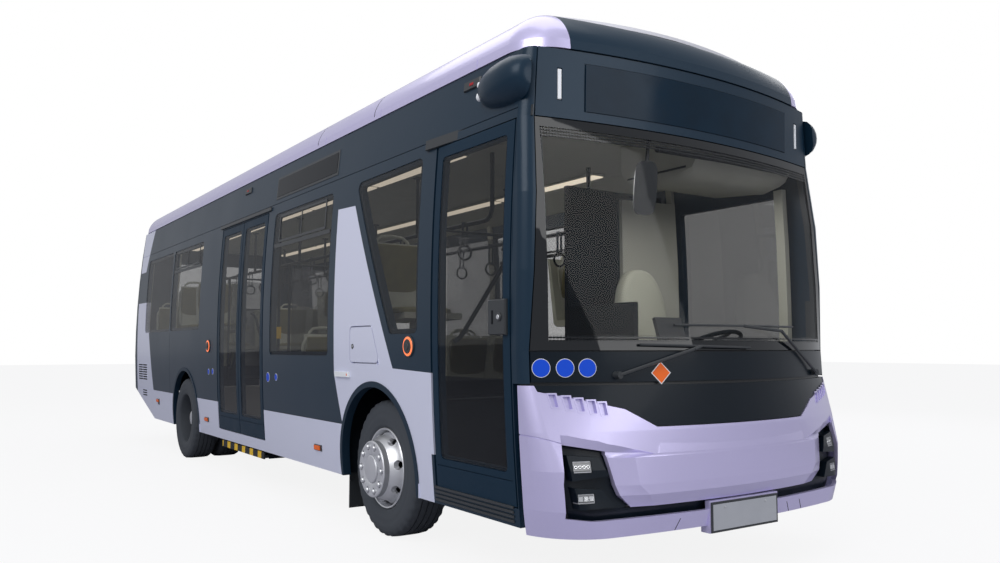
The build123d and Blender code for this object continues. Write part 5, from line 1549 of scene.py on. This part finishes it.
# ------------------------------------------------------------------ cabin
@dataclass
class SteeringRim:
    """Smooth steering wheel in place of the faceted one."""

    centre: Point = (3.960, 0.560, 1.215)
    tilt: float = math.radians(25)
    ring: float = 0.215
    grip: float = 0.0135

    def _place(self, across: float, along: float, up: float) -> Point:
        """Point given in the plane of the wheel."""
        turned = Matrix.Rotation(-self.tilt, 3, "Y") @ Vector((across, along, up))
        return tuple(Vector(self.centre) + turned)

    def build(self) -> None:
        """Make rim, spokes and horn pad."""
        form = Form("steering_rim")
        path = [self._place(self.ring * math.cos(a), self.ring * math.sin(a), 0.0) for a in circle(56)]
        form.tube(path, self.grip, Finish.GRIP, 14, loop=True)
        for turn in circle(3):
            path = [self._place(r * math.cos(turn), r * math.sin(turn), h)
                    for r, h in ((0.030, 0.004), (0.090, 0.003), (0.160, 0.001), (self.ring, 0.0))]
            form.tube(path, (0.020, 0.016, 0.012, 0.010), Finish.BLACK_TRIM, 12)
        hub = [self._place(0, 0, h) for h in (-0.014, 0.010, 0.016, 0.018)]
        form.tube(hub, (0.054, 0.054, 0.048, 0.036), Finish.BLACK_TRIM, 32)
        made = form.done("steering_wheel", 40.0)
        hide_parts("steering_wheel")


@dataclass
class GrabRails:
    """Round rails, poles and straps in place of the faceted ones."""

    radius: float = 0.016
    rail_y: float = 0.430
    rail_z: float = 2.080
    ceiling: float = 2.540
    floor: float = 0.385
    front: float = 2.950
    back: float = -3.400
    hangers: tuple[float, ...] = (1.900, 0.700, -0.600, -2.000)
    poles: tuple[Flat, ...] = ((3.380, -0.560), (0.850, -0.560), (-0.820, -0.560))
    bend: float = 0.09
    straps: int = 13
    strap_ends: Flat = (2.60, -3.10)

    def build(self) -> None:
        """Make rails, poles, buttons and straps."""
        form = Form("round_rails")
        for side in (-1, 1):
            y, bend = side * self.rail_y, self.bend
            steps = [math.pi / 2 * n / 4 for n in range(5)]
            front = [(self.front - bend + bend * math.cos(a), y, self.rail_z + bend - bend * math.sin(a))
                     for a in steps]
            back = [(self.back + bend - bend * math.sin(a), y, self.rail_z + bend - bend * math.cos(a))
                    for a in steps]
            form.tube([(self.front, y, self.ceiling), *front, *back, (self.back, y, self.ceiling)],
                      self.radius,
                      Finish.RAIL, 14)
            for x in self.hangers:
                form.tube([(x, y, self.rail_z), (x, y, self.ceiling)], self.radius * 0.9, Finish.RAIL, 14)
                form.disc((x, y, self.ceiling - 0.004), (0, 0, -1), 0.035, 0.006, Finish.RAIL, 24)
        for x, y in self.poles:
            form.tube([(x, y, self.floor), (x, y, self.ceiling)], self.radius, Finish.RAIL, 14)
            form.disc((x, y, self.floor + 0.004), (0, 0, 1), 0.040, 0.008, Finish.RAIL, 24)
            form.box((x - 0.022, y - 0.030, 1.30), (x + 0.022, y + 0.022, 1.42), Finish.STOP_BOX)
            form.disc((x, y - 0.032, 1.37), (0, -1, 0), 0.015, 0.006, Finish.RED_LENS, 24)
        made = form.done("body", 40.0)
        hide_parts("grab_rails")
        self._straps()

    def _straps(self) -> None:
        """Straps with loops along both ceiling rails."""
        for side, name in ((-1, "right"), (1, "left")):
            band = Form(f"strap_band_{name}")
            band.box((-0.013, -0.019, 0.014), (0.013, 0.019, 0.020), Finish.STRAP)
            for y in (-0.019, 0.0165):
                band.box((-0.013, y, -0.150), (0.013, y + 0.0025, 0.018), Finish.STRAP)
            loop = Form(f"strap_loop_{name}")
            path = [(0.0, 0.052 * math.sin(a), -0.198 - 0.050 * math.cos(a)) for a in circle(28)]
            loop.tube(path, 0.0085, Finish.GRIP, 10, loop=True)
            loop.box((-0.014, -0.021, -0.160), (0.014, 0.021, -0.140), Finish.GRIP)
            y = side * self.rail_y
            for part, unit, finish in (("bands", band, Finish.STRAP), ("loops", loop, Finish.GRIP)):
                start, end = ((x, y, self.rail_z) for x in self.strap_ends)
                row = Repeat(f"strap_{part}_{name}", finish, self.straps, start, end)
                made = row.build(unit.loose())
                smooth(made, 40.0)
                ride(made, "body")


@dataclass
class PassengerSeats:
    """Padded cushions, backs and handles on the seat shells."""

    deck: float = 1.146
    from_wall: float = 0.245
    spacing: float = 0.460
    seat_height: float = 0.430
    back_lean: float = math.radians(100.5)
    # front edge, side, height of the floor, seats across
    rows: tuple[tuple[float, int, float, int], ...] = (
        (2.900, -1, 1.005, 1), (2.700, 1, 1.005, 1), (1.700, 1, 0.385, 2), (0.900, 1, 0.385, 2),
        (1.700, -1, 0.385, 2),
        (-1.480, 1, 1.005, 1), (-1.480, -1, 1.005, 1), (-2.240, 1, 1.005, 1), (-2.240, -1, 1.005, 1),
        (-2.660, 1, 0.800, 2), (-2.660, -1, 0.800, 2), (-3.360, 1, 0.800, 2), (-3.360, -1, 0.800, 2),
    )

    def places(self) -> list[Point]:
        """Front middle of every seat shell at cushion height."""
        return [(x, side * (self.deck - self.from_wall - n * self.spacing), floor + self.seat_height)
                for x, side, floor, across in self.rows for n in range(across)]

    def build(self) -> None:
        """Make pads and frames."""
        self._pads("seat_cushions", Cushion(0.370, 0.390, 0.050),
                   lambda x, y, z: Matrix.Translation((x - 0.200, y, z + 0.012)))
        self._pads("back_cushions", Cushion(0.430, 0.370, 0.038),
                   lambda x, y, z: Matrix.Translation((x - 0.432, y, z + 0.268))
                   @ Matrix.Rotation(self.back_lean, 4, "Y"))
        self._frames()

    def _pads(self, name: str, cushion: Cushion, place: Callable[[float, float, float], Matrix]) -> None:
        """Copies of one stuffed cushion, one for each seat."""
        master = cushion.build(f"{name}_master")
        joined = bmesh.new()
        for spot in self.places():
            part = master.copy()
            part.transform(place(*spot))
            joined.from_mesh(part)
            bpy.data.meshes.remove(part)
        data = bpy.data.meshes.new(name)
        joined.to_mesh(data)
        joined.free()
        Cushion.lay(name, data)

    def _frames(self) -> None:
        """Pale rim round each back, with a handle above it."""
        form = Form("seat_frames")
        for x, y, z in self.places():
            outline = []
            for across, up in self._outline():
                lean = (up - 0.02) * 0.165
                outline.append((x - 0.418 - lean, y + across, z + up))
            form.tube(outline, 0.015, Finish.SEAT_SHELL, 10, loop=True)
            handle = [(x - 0.500 - 0.02 * lift, y + across, z + 0.465 + lift * 0.085) for across, lift in
                      ((-0.135, 0.0), (-0.120, 0.6), (-0.085, 0.95), (0.0, 1.05), (0.085, 0.95),
                       (0.120, 0.6), (0.135, 0.0))]
            form.tube(handle, 0.0115, Finish.SEAT_SHELL, 10)
        form.done("body", 45.0)

    def _outline(self) -> list[Flat]:
        """Rounded outline of a seat back as (across, up)."""
        bends = ((-0.190, 0.030, 0.05), (0.190, 0.030, 0.05), (0.185, 0.480, 0.09), (-0.185, 0.480, 0.09))
        turns = (math.pi, 1.5 * math.pi, 0.0, 0.5 * math.pi)
        outline = []
        for (across, up, radius), turn in zip(bends, turns):
            middle = (across - math.copysign(radius, across), up + (radius if up < 0.2 else -radius))
            for step in range(6):
                angle = turn + math.pi / 2 * step / 5
                outline.append((middle[0] + radius * math.cos(angle), middle[1] + radius * math.sin(angle)))
        return outline


@dataclass
class Cushion:
    """Stuffed cushion: a rounded block blown up as cloth."""

    length: float
    width: float
    thick: float
    pressure: float = 4.0
    grain: float = 0.006
    faces: int = 900
    frames: int = 20
    cap: float = 0.012
    least: float = 0.002

    def build(self, name: str) -> bpy.types.Mesh:
        """Simulate the cover and return its mesh, round its own middle.

        Args:
            name: Name of the mesh.

        Returns:
            Closed mesh of the stuffed cushion.
        """
        mesh = bmesh.new()
        bmesh.ops.create_cube(mesh, size=1.0,
                              matrix=Matrix.Diagonal((self.length, self.width, self.thick * 0.72, 1)))
        bmesh.ops.bevel(mesh, geom=mesh.edges[:], offset=self.thick * 0.30, segments=3, affect="EDGES",
                        profile=0.6)
        data = bpy.data.meshes.new(name)
        mesh.to_mesh(data)
        mesh.free()
        made = put(name, data)
        modify(made, "REMESH", mode="VOXEL", voxel_size=self.grain)
        self._blow(made)
        share = min(1.0, self.faces / len(made.data.polygons))
        modify(made, "DECIMATE", ratio=share)
        result = made.data
        bpy.data.objects.remove(made)
        return result

    @staticmethod
    def lay(name: str, mesh: bpy.types.Mesh) -> None:
        """Let a stuffed mesh ride as a pad."""
        mesh.materials.append(Finish.FABRIC.material)
        made = put(name, mesh)
        smooth(made, 60.0)
        ride(made, "body")

    def _blow(self, made: bpy.types.Object) -> None:
        """Blow the cover up under inner pressure, held at its foot, and cap how far it moves."""
        before = [vertex.co.copy() for vertex in made.data.vertices]
        foot = made.vertex_groups.new(name="foot")
        foot.add([n for n, spot in enumerate(before) if spot.z < -self.thick * 0.28], 1.0, "REPLACE")
        layer = made.modifiers.new("cloth", "CLOTH")
        rules = layer.settings
        rules.quality, rules.mass, rules.air_damping = 6, 0.3, 2.0
        rules.tension_stiffness = rules.compression_stiffness = 12.0
        rules.bending_stiffness = 0.6
        rules.use_pressure, rules.uniform_pressure_force = True, self.pressure
        rules.vertex_group_mass = "foot"
        rules.effector_weights.gravity = 0.0
        layer.point_cache.frame_start, layer.point_cache.frame_end = 1, self.frames
        scene = bpy.context.scene
        for frame in range(1, self.frames + 1):
            scene.frame_set(frame)
        graph = bpy.context.evaluated_depsgraph_get()
        blown = [vertex.co.copy() for vertex in made.evaluated_get(graph).data.vertices]
        made.modifiers.remove(layer)
        scene.frame_set(1)
        most = max((new - old).length for new, old in zip(blown, before))
        share = 0.0 if most < self.least else min(1.0, self.cap / most)
        for vertex, new, old in zip(made.data.vertices, blown, before):
            vertex.co = old + (new - old) * share
        LOG.info("%s blown up by at most %.1f mm", made.name, most * share * 1000)


@dataclass
class DriverSeat:
    """Rounded driver's seat in place of the plain one."""

    station: float = 3.560
    middle: float = 0.560
    deck: float = 0.600

    def build(self) -> None:
        """Make pedestal, cushion and back."""
        x, y, z = self.station, self.middle, self.deck
        form = Form("driver_seat_base")
        form.tube([(x, y, z), (x, y, z + 0.020), (x, y, z + 0.030), (x, y, z + 0.250), (x, y, z + 0.300)],
                  (0.150, 0.150, 0.090, 0.090, 0.150), Finish.BLACK_TRIM, 32)
        form.box((x - 0.220, y - 0.220, z + 0.300), (x + 0.220, y + 0.220, z + 0.335), Finish.BLACK_TRIM)
        made = form.done("body")
        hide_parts("driver_seat")
        cushion = Cushion(0.470, 0.470, 0.095).build("driver_cushion")
        cushion.transform(Matrix.Translation((x + 0.010, y, z + 0.383)))
        Cushion.lay("driver_seat_cushion", cushion)
        self._back()

    def _back(self) -> None:
        """High back with a rounded head, crowned in front."""
        form = Form("driver_seat_back")
        rows = []
        for share, thick in ((0.80, 0.070), (0.96, 0.060), (1.0, 0.035), (1.0, -0.010), (0.97, -0.028),
                             (0.86, -0.038)):
            ring = []
            for across, up in self._outline():
                lean = up * 0.13
                ring.append((self.station - 0.215 - lean + thick, self.middle + across * share,
                             self.deck + 0.780 + up + (share - 1) * up * 0.5))
            rows.append(ring)
        form.rings(rows, Finish.SEAT_SHELL)
        form.done("body", 60.0)

    @staticmethod
    def _outline() -> list[Flat]:
        """Outline of the back as (across, up) round its middle."""
        outline = []
        for angle in circle(48):
            across, up = math.cos(angle), math.sin(angle)
            power = 0.45 if up < 0 else 0.75
            half = 0.225 if up < 0 else 0.225 - 0.045 * up
            outline.append((half * math.copysign(abs(across) ** power, across),
                            0.375 * math.copysign(abs(up) ** power, up)))
        return outline


@dataclass
class DoorHandrails:
    """Slanted handrails inside the door leaves."""

    # body, lower and upper end as (station, height)
    rails: tuple[tuple[str, Flat, Flat], ...] = (
        ("door_front", (3.610, 1.260), (4.090, 1.700)),
        ("door_rear_front", (0.420, 1.020), (0.040, 1.500)),
        ("door_rear_back", (-0.610, 1.020), (-0.230, 1.500)),
    )
    y: float = -1.085
    bend: float = 0.045

    def build(self) -> None:
        """Make one handrail for each leaf."""
        for body, (x0, z0), (x1, z1) in self.rails:
            form = Form(f"{body}_handrail")
            bend, slope = self.bend, (x1 - x0) * 0.05
            form.tube([(x0, self.y - bend, z0 - 0.02), (x0, self.y - 0.012, z0),
                       (x0 + slope, self.y, z0 + 0.03), (x1 - slope, self.y, z1 - 0.03),
                       (x1, self.y - 0.012, z1), (x1, self.y - bend, z1 + 0.02)],
                      0.013, Finish.RAIL, 12)
            form.done(body, 40.0)


@dataclass
class Cabin:
    """Light strips, partition frames, dashboard and screens."""

    ceiling: float = 2.540
    light_y: float = 0.62
    light_length: float = 1.32
    light_starts: tuple[float, ...] = (-4.00, -2.62, -1.24, 0.14, 1.52)
    # hand, stations of the ribs
    pillars: tuple[tuple[int, tuple[float, ...]], ...] = (
        (-1, (2.10, 0.665, -1.30, -2.69, -4.10)), (1, (3.12, 1.91, 0.63, -0.67, -2.03, -3.31)))
    # place across, radius
    dials: tuple[Flat, ...] = ((0.450, 0.038), (0.560, 0.030), (0.670, 0.038))
    switches: int = 8
    ticket_screen: Point = (4.230, -0.060, 1.300)
    mirror: Point = (4.400, -0.407, 2.068)
    screens: tuple[float, ...] = (3.395, 0.855, -0.825)
    screen_edges: Flat = (-1.090, -0.575)
    extinguisher: Point = (2.990, -0.900, 1.020)

    def build(self) -> None:
        """Make the fittings of the cabin."""
        self._lights()
        self._lining()
        self._dashboard()
        self._mirror()
        self._blind()
        self._panels()
        self._driver_lining()
        self._extinguisher()

    def _lights(self) -> None:
        """Two warm light strips along the ceiling."""
        form = Form("ceiling_lights")
        for side in (-1, 1):
            y = side * self.light_y
            for x0 in self.light_starts:
                x1 = x0 + self.light_length
                form.box((x0 - 0.01, y - 0.065, self.ceiling - 0.022),
                         (x1 + 0.01, y + 0.065, self.ceiling - 0.002),
                         Finish.LINING)
                form.box((x0, y - 0.050, self.ceiling - 0.030), (x1, y + 0.050, self.ceiling - 0.020),
                         Finish.STRIP)
        form.done("body")

    def _lining(self) -> None:
        """Ribs of the cabin wall between the windows."""
        form = Form("window_pillar_covers")
        for hand, stations in self.pillars:
            for x in stations:
                rows = []
                for z in (1.15, 1.50, 1.90, 2.34, 2.50):
                    y = hand * (side_wall_y(z) - 0.052)
                    rows.append([(x - 0.035, y, z), (x + 0.035, y, z), (x + 0.028, y - hand * 0.022, z),
                                 (x - 0.028, y - hand * 0.022, z)])
                form.rings(rows, Finish.LINING)
        form.done("body")

    def _dashboard(self) -> None:
        """Binnacle with dials, ticket screen and switch row."""
        form = Form("dashboard_binnacle")
        hood = []
        for y in (0.330, 0.350, 0.560, 0.770, 0.790):
            drop = 0.030 if y in (0.330, 0.790) else 0.0
            hood.append([(4.190, y, 1.150), (4.175, y, 1.215 - drop), (4.230, y, 1.262 - drop),
                         (4.330, y, 1.235 - drop),
                         (4.350, y, 1.150)])
        form.rings(hood, Finish.BLACK_TRIM)
        form.done("body")
        face = Form("dashboard_dials")
        for y, radius in self.dials:
            face.disc((4.181, y, 1.205), (-1, 0, 0.45), radius, 0.004, Finish.SCREEN, 32)
        for n in range(self.switches):
            face.box((4.176, 0.120 + n * 0.024, 1.120), (4.190, 0.136 + n * 0.024, 1.146), Finish.GRIP)
        face.done("body")
        tablet = Form("ticket_screen")
        tilt = Matrix.Translation(self.ticket_screen) @ Matrix.Rotation(math.radians(-18), 4, "Y")
        for low, high, finish in (((-0.012, -0.105, -0.070), (0.012, 0.105, 0.080), Finish.BLACK_TRIM),
                                  ((-0.014, -0.096, -0.060), (-0.011, 0.096, 0.072), Finish.SCREEN)):
            (x0, y0, z0), (x1, y1, z1) = low, high
            tablet.rings([[tuple(tilt @ Vector((x, y, z)))
                           for x, y in ((x0, y0), (x1, y0), (x1, y1), (x0, y1))]
                          for z in (z0, z1)], finish)
        tablet.tube([(4.250, 0.080, 1.130), (4.240, 0.010, 1.190), (4.232, -0.040, 1.250)], 0.014,
                    Finish.BLACK_TRIM)
        tablet.done("body")

    def _mirror(self) -> None:
        """Interior mirror on its stalk under the header."""
        form = Form("interior_mirror")
        tilt = Matrix.Translation(self.mirror) @ Matrix.Rotation(math.radians(6), 4, "Y") \
            @ Matrix.Rotation(math.radians(-30), 4, "Z")
        outline = []
        for angle in circle(32):
            across = 0.062 * math.copysign(abs(math.cos(angle)) ** 0.5, math.cos(angle))
            up = 0.146 * math.copysign(abs(math.sin(angle)) ** 0.5, math.sin(angle))
            outline.append((across, up))
        for x0, x1, share, finish in ((-0.012, 0.014, 1.0, Finish.BLACK_TRIM),
                                      (-0.014, -0.0115, 0.9, Finish.MIRROR)):
            form.rings([[tuple(tilt @ Vector((x, a * share, b * share))) for a, b in outline]
                        for x in (x0, x1)], finish)
        form.tube([(4.393, -0.372, 2.380), (4.398, -0.380, 2.300), (4.402, -0.395, 2.200)], 0.010,
                  Finish.BLACK_TRIM)
        form.done("body")

    def _blind(self) -> None:
        """Rolled sun blind under the header."""
        form = Form("sun_blind")
        form.tube([(4.380, -0.290, 2.303), (4.360, 0.300, 2.318), (4.300, 0.930, 2.330)], 0.020,
                  Finish.BLACK_TRIM, 20)
        form.done("body")

    def _panels(self) -> None:
        """Glass screens and frames behind the doors."""
        form = Form("door_screens")
        panes = Form("door_screen_panes")
        y0, y1 = self.screen_edges
        for x in self.screens:
            form.tube([(x, y1, 0.90), (x, y0 + 0.02, 0.90), (x, y0 + 0.02, 1.90), (x, y1, 1.90)], 0.0125,
                      Finish.RAIL, 12)
            panes.box((x - 0.004, y0 + 0.040, 0.93), (x + 0.004, y1 - 0.02, 1.87), Finish.SIDE_GLASS)
        form.done("body", 40.0)
        panes.done("body")

    def _driver_lining(self) -> None:
        """Overhead locker, pillar lining and rear wall round the driver."""
        form = Form("driver_lining")
        section = ((3.560, 2.535), (3.560, 2.330), (3.640, 2.270), (4.050, 2.235), (4.180, 2.265),
                   (4.230, 2.340),
                   (4.235, 2.420), (4.190, 2.535))
        rows = [[(x + (0.02 if edge else 0.0), y, z + (0.03 if edge and z < 2.5 else 0.0))
                 for x, z in section]
                for y, edge in ((0.180, True), (0.215, False), (1.030, False), (1.065, True))]
        form.rings(rows, Finish.LINING)
        form.box((3.640, 0.175, 2.298), (4.150, 0.182, 2.310), Finish.BLACK_TRIM)
        rows = []
        for z in (1.16, 1.50, 1.90, 2.25):
            y = side_wall_y(z) - 0.075
            rows.append([(4.105, y, z), (4.185, y - 0.010, z), (4.180, y - 0.045, z), (4.110, y - 0.040, z)])
        form.rings(rows, Finish.LINING)
        rows = []
        for z in (0.62, 1.20, 1.80, 2.30):
            y = side_wall_y(z) - 0.060
            rows.append([(3.055, 0.640, z), (3.085, 0.640, z), (3.140, y - 0.06, z), (3.170, y - 0.005, z),
                         (3.140, y, z),
                         (3.055, y, z)])
        form.rings(rows, Finish.LINING)
        form.done("body", 50.0)

    def _extinguisher(self) -> None:
        """Red fire extinguisher on the front partition."""
        form = Form("fire_extinguisher")
        x, y, z = self.extinguisher
        form.tube([(x, y, z), (x, y, z + 0.008), (x, y, z + 0.300), (x, y, z + 0.330), (x, y, z + 0.345),
                   (x, y, z + 0.385)],
                  (0.040, 0.055, 0.055, 0.042, 0.016, 0.016), Finish.RED_LENS, 28)
        form.box((x - 0.012, y - 0.015, z + 0.385), (x + 0.070, y + 0.015, z + 0.398), Finish.BLACK_TRIM)
        form.tube([(x + 0.010, y, z + 0.370), (x + 0.060, y, z + 0.360), (x + 0.068, y, z + 0.300),
                   (x + 0.066, y, z + 0.140)],
                  0.009, Finish.BLACK_TRIM, 10)
        form.box((x - 0.070, y - 0.020, z - 0.008), (x + 0.060, y + 0.020, z), Finish.BLACK_TRIM)
        form.done("body", 40.0)


# ------------------------------------------------------------------ stage
@dataclass
class Studio:
    """Pale floor, soft light and the camera."""

    eye: Point = (7.677, -3.606, 1.206)
    looks: Point = (-0.8223, 0.5637, 0.0783)
    lens: float = 30.35
    floor_size: float = 120.0
    floor_grey: Colour = (0.40, 0.40, 0.44, 1)
    floor_glow: float = 1.10
    glow_share: float = 0.80
    sky: Colour = (0.93, 0.95, 1.0, 1)
    sky_strength: float = 0.54

    def build(self) -> None:
        """Make floor, world, lights and camera."""
        self._floor()
        self._world()
        self._lights()
        self._camera()

    def _floor(self) -> None:
        """White floor that keeps the shadow of the bus."""
        mesh = bpy.data.meshes.new("stage_floor")
        half = self.floor_size / 2
        mesh.from_pydata([(-half, -half, 0), (half, -half, 0), (half, half, 0), (-half, half, 0)], [],
                         [(0, 1, 2, 3)])
        floor = put("stage_floor", mesh)
        graph = Graph("stage_floor")
        grey = graph.node("ShaderNodeBsdfDiffuse", None, {"Color": self.floor_grey})
        seen = graph.node("ShaderNodeLightPath")
        glow = graph.node("ShaderNodeEmission", None, {"Color": (1, 1, 1, 1), "Strength": self.floor_glow})
        share = Signal(graph, seen.outputs["Is Camera Ray"]) * self.glow_share
        mixed = graph.node("ShaderNodeMixShader", None, {0: share, 1: grey.outputs[0], 2: glow.outputs[0]})
        graph.node("ShaderNodeOutputMaterial", None, {"Surface": mixed.outputs[0]})
        mesh.materials.append(graph.material)

    def _world(self) -> None:
        """White surroundings for the camera, softer ones for light."""
        world = bpy.data.worlds.new("studio")
        bpy.context.scene.world = world
        world.use_nodes = True
        tree = world.node_tree
        tree.nodes.clear()
        path = tree.nodes.new("ShaderNodeLightPath")
        mixed = tree.nodes.new("ShaderNodeMixShader")
        out = tree.nodes.new("ShaderNodeOutputWorld")
        tree.links.new(path.outputs["Is Camera Ray"], mixed.inputs[0])
        for socket, colour, strength in ((1, self.sky, self.sky_strength), (2, (1, 1, 1, 1), 1.0)):
            back = tree.nodes.new("ShaderNodeBackground")
            back.inputs[0].default_value, back.inputs[1].default_value = colour, strength
            tree.links.new(back.outputs[0], mixed.inputs[socket])
        tree.links.new(mixed.outputs[0], out.inputs[0])

    def _lights(self) -> None:
        """Large soft panels over and beside the bus."""
        rows = [
            # name, position, aim, width, height, watts
            ("key_panel", (7.0, -9.0, 8.0), (0.5, 0.0, 1.2), 8.0, 6.0, 560.0),
            ("front_panel", (13.0, 2.0, 4.5), (4.0, 0.0, 1.2), 6.0, 5.0, 205.0),
            ("top_panel", (0.0, 0.0, 9.0), (0.0, 0.0, 0.0), 12.0, 5.0, 215.0),
            ("left_panel", (-2.0, 9.0, 6.0), (0.0, 0.0, 1.2), 9.0, 5.0, 210.0),
            ("cabin_panel", (-0.4, 0.0, 2.50), (-0.4, 0.0, 0.0), 6.4, 1.0, 22.0),
            ("driver_panel", (3.90, 0.1, 2.22), (3.90, 0.1, 0.0), 0.5, 1.4, 7.0),
        ]
        for name, position, aim, width, height, watts in rows:
            lamp = bpy.data.lights.new(name, "AREA")
            lamp.shape = "RECTANGLE"
            lamp.size, lamp.size_y, lamp.energy = width, height, watts
            self._aim(put(name, lamp), position, Vector(aim) - Vector(position))

    def _camera(self) -> None:
        """Camera ahead of the bus and to its right, low over the ground."""
        data = bpy.data.cameras.new("camera")
        data.lens, data.sensor_width = self.lens, 36.0
        data.clip_start, data.clip_end = 0.05, 200.0
        camera = put("camera", data)
        self._aim(camera, self.eye, Vector(self.looks))
        bpy.context.scene.camera = camera

    @staticmethod
    def _aim(holder: bpy.types.Object, position: Point, way: Vector) -> None:
        """Stand a light or camera at a position, turned to look along way."""
        holder.location = position
        holder.rotation_euler = way.to_track_quat("-Z", "Y").to_euler()


def corners(pair: Sequence[Vector]) -> list[list[float]]:
    """Plain lists of two corners."""
    return [[round(value, 5) for value in corner] for corner in pair]


def main() -> None:
    """Load the frame, dress it and set the stage."""
    logging.basicConfig(level=logging.INFO, format="%(name)s %(message)s")
    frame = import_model()
    bpy.context.scene.view_settings.view_transform = "Standard"
    nodes = frame["nodes"]
    Studio().build()
    dress_nodes(nodes)
    outside = Probe(nodes, ("side_wall_right", "side_wall_left", "front_header", "belt_panel", "bumper",
                            "windscreen",
                            "rear_wall", "rear_hatch", "lamps", "window_glass", "charge_flap", "front_frame",
                            "bumper_inlays", "roof_coves", "door_front_leaf", "door_front_glass"))
    for wheels in wheel_sets():
        wheels.build()
    for group in (SideTrim(outside), FrontTrim(outside), RearTrim(outside), MirrorPods(), WindowTrim(outside),
                  SteeringRim(), GrabRails(), PassengerSeats(), DriverSeat(), DoorHandrails(), Cabin()):
        group.build()


if __name__ == "__main__":
    main()
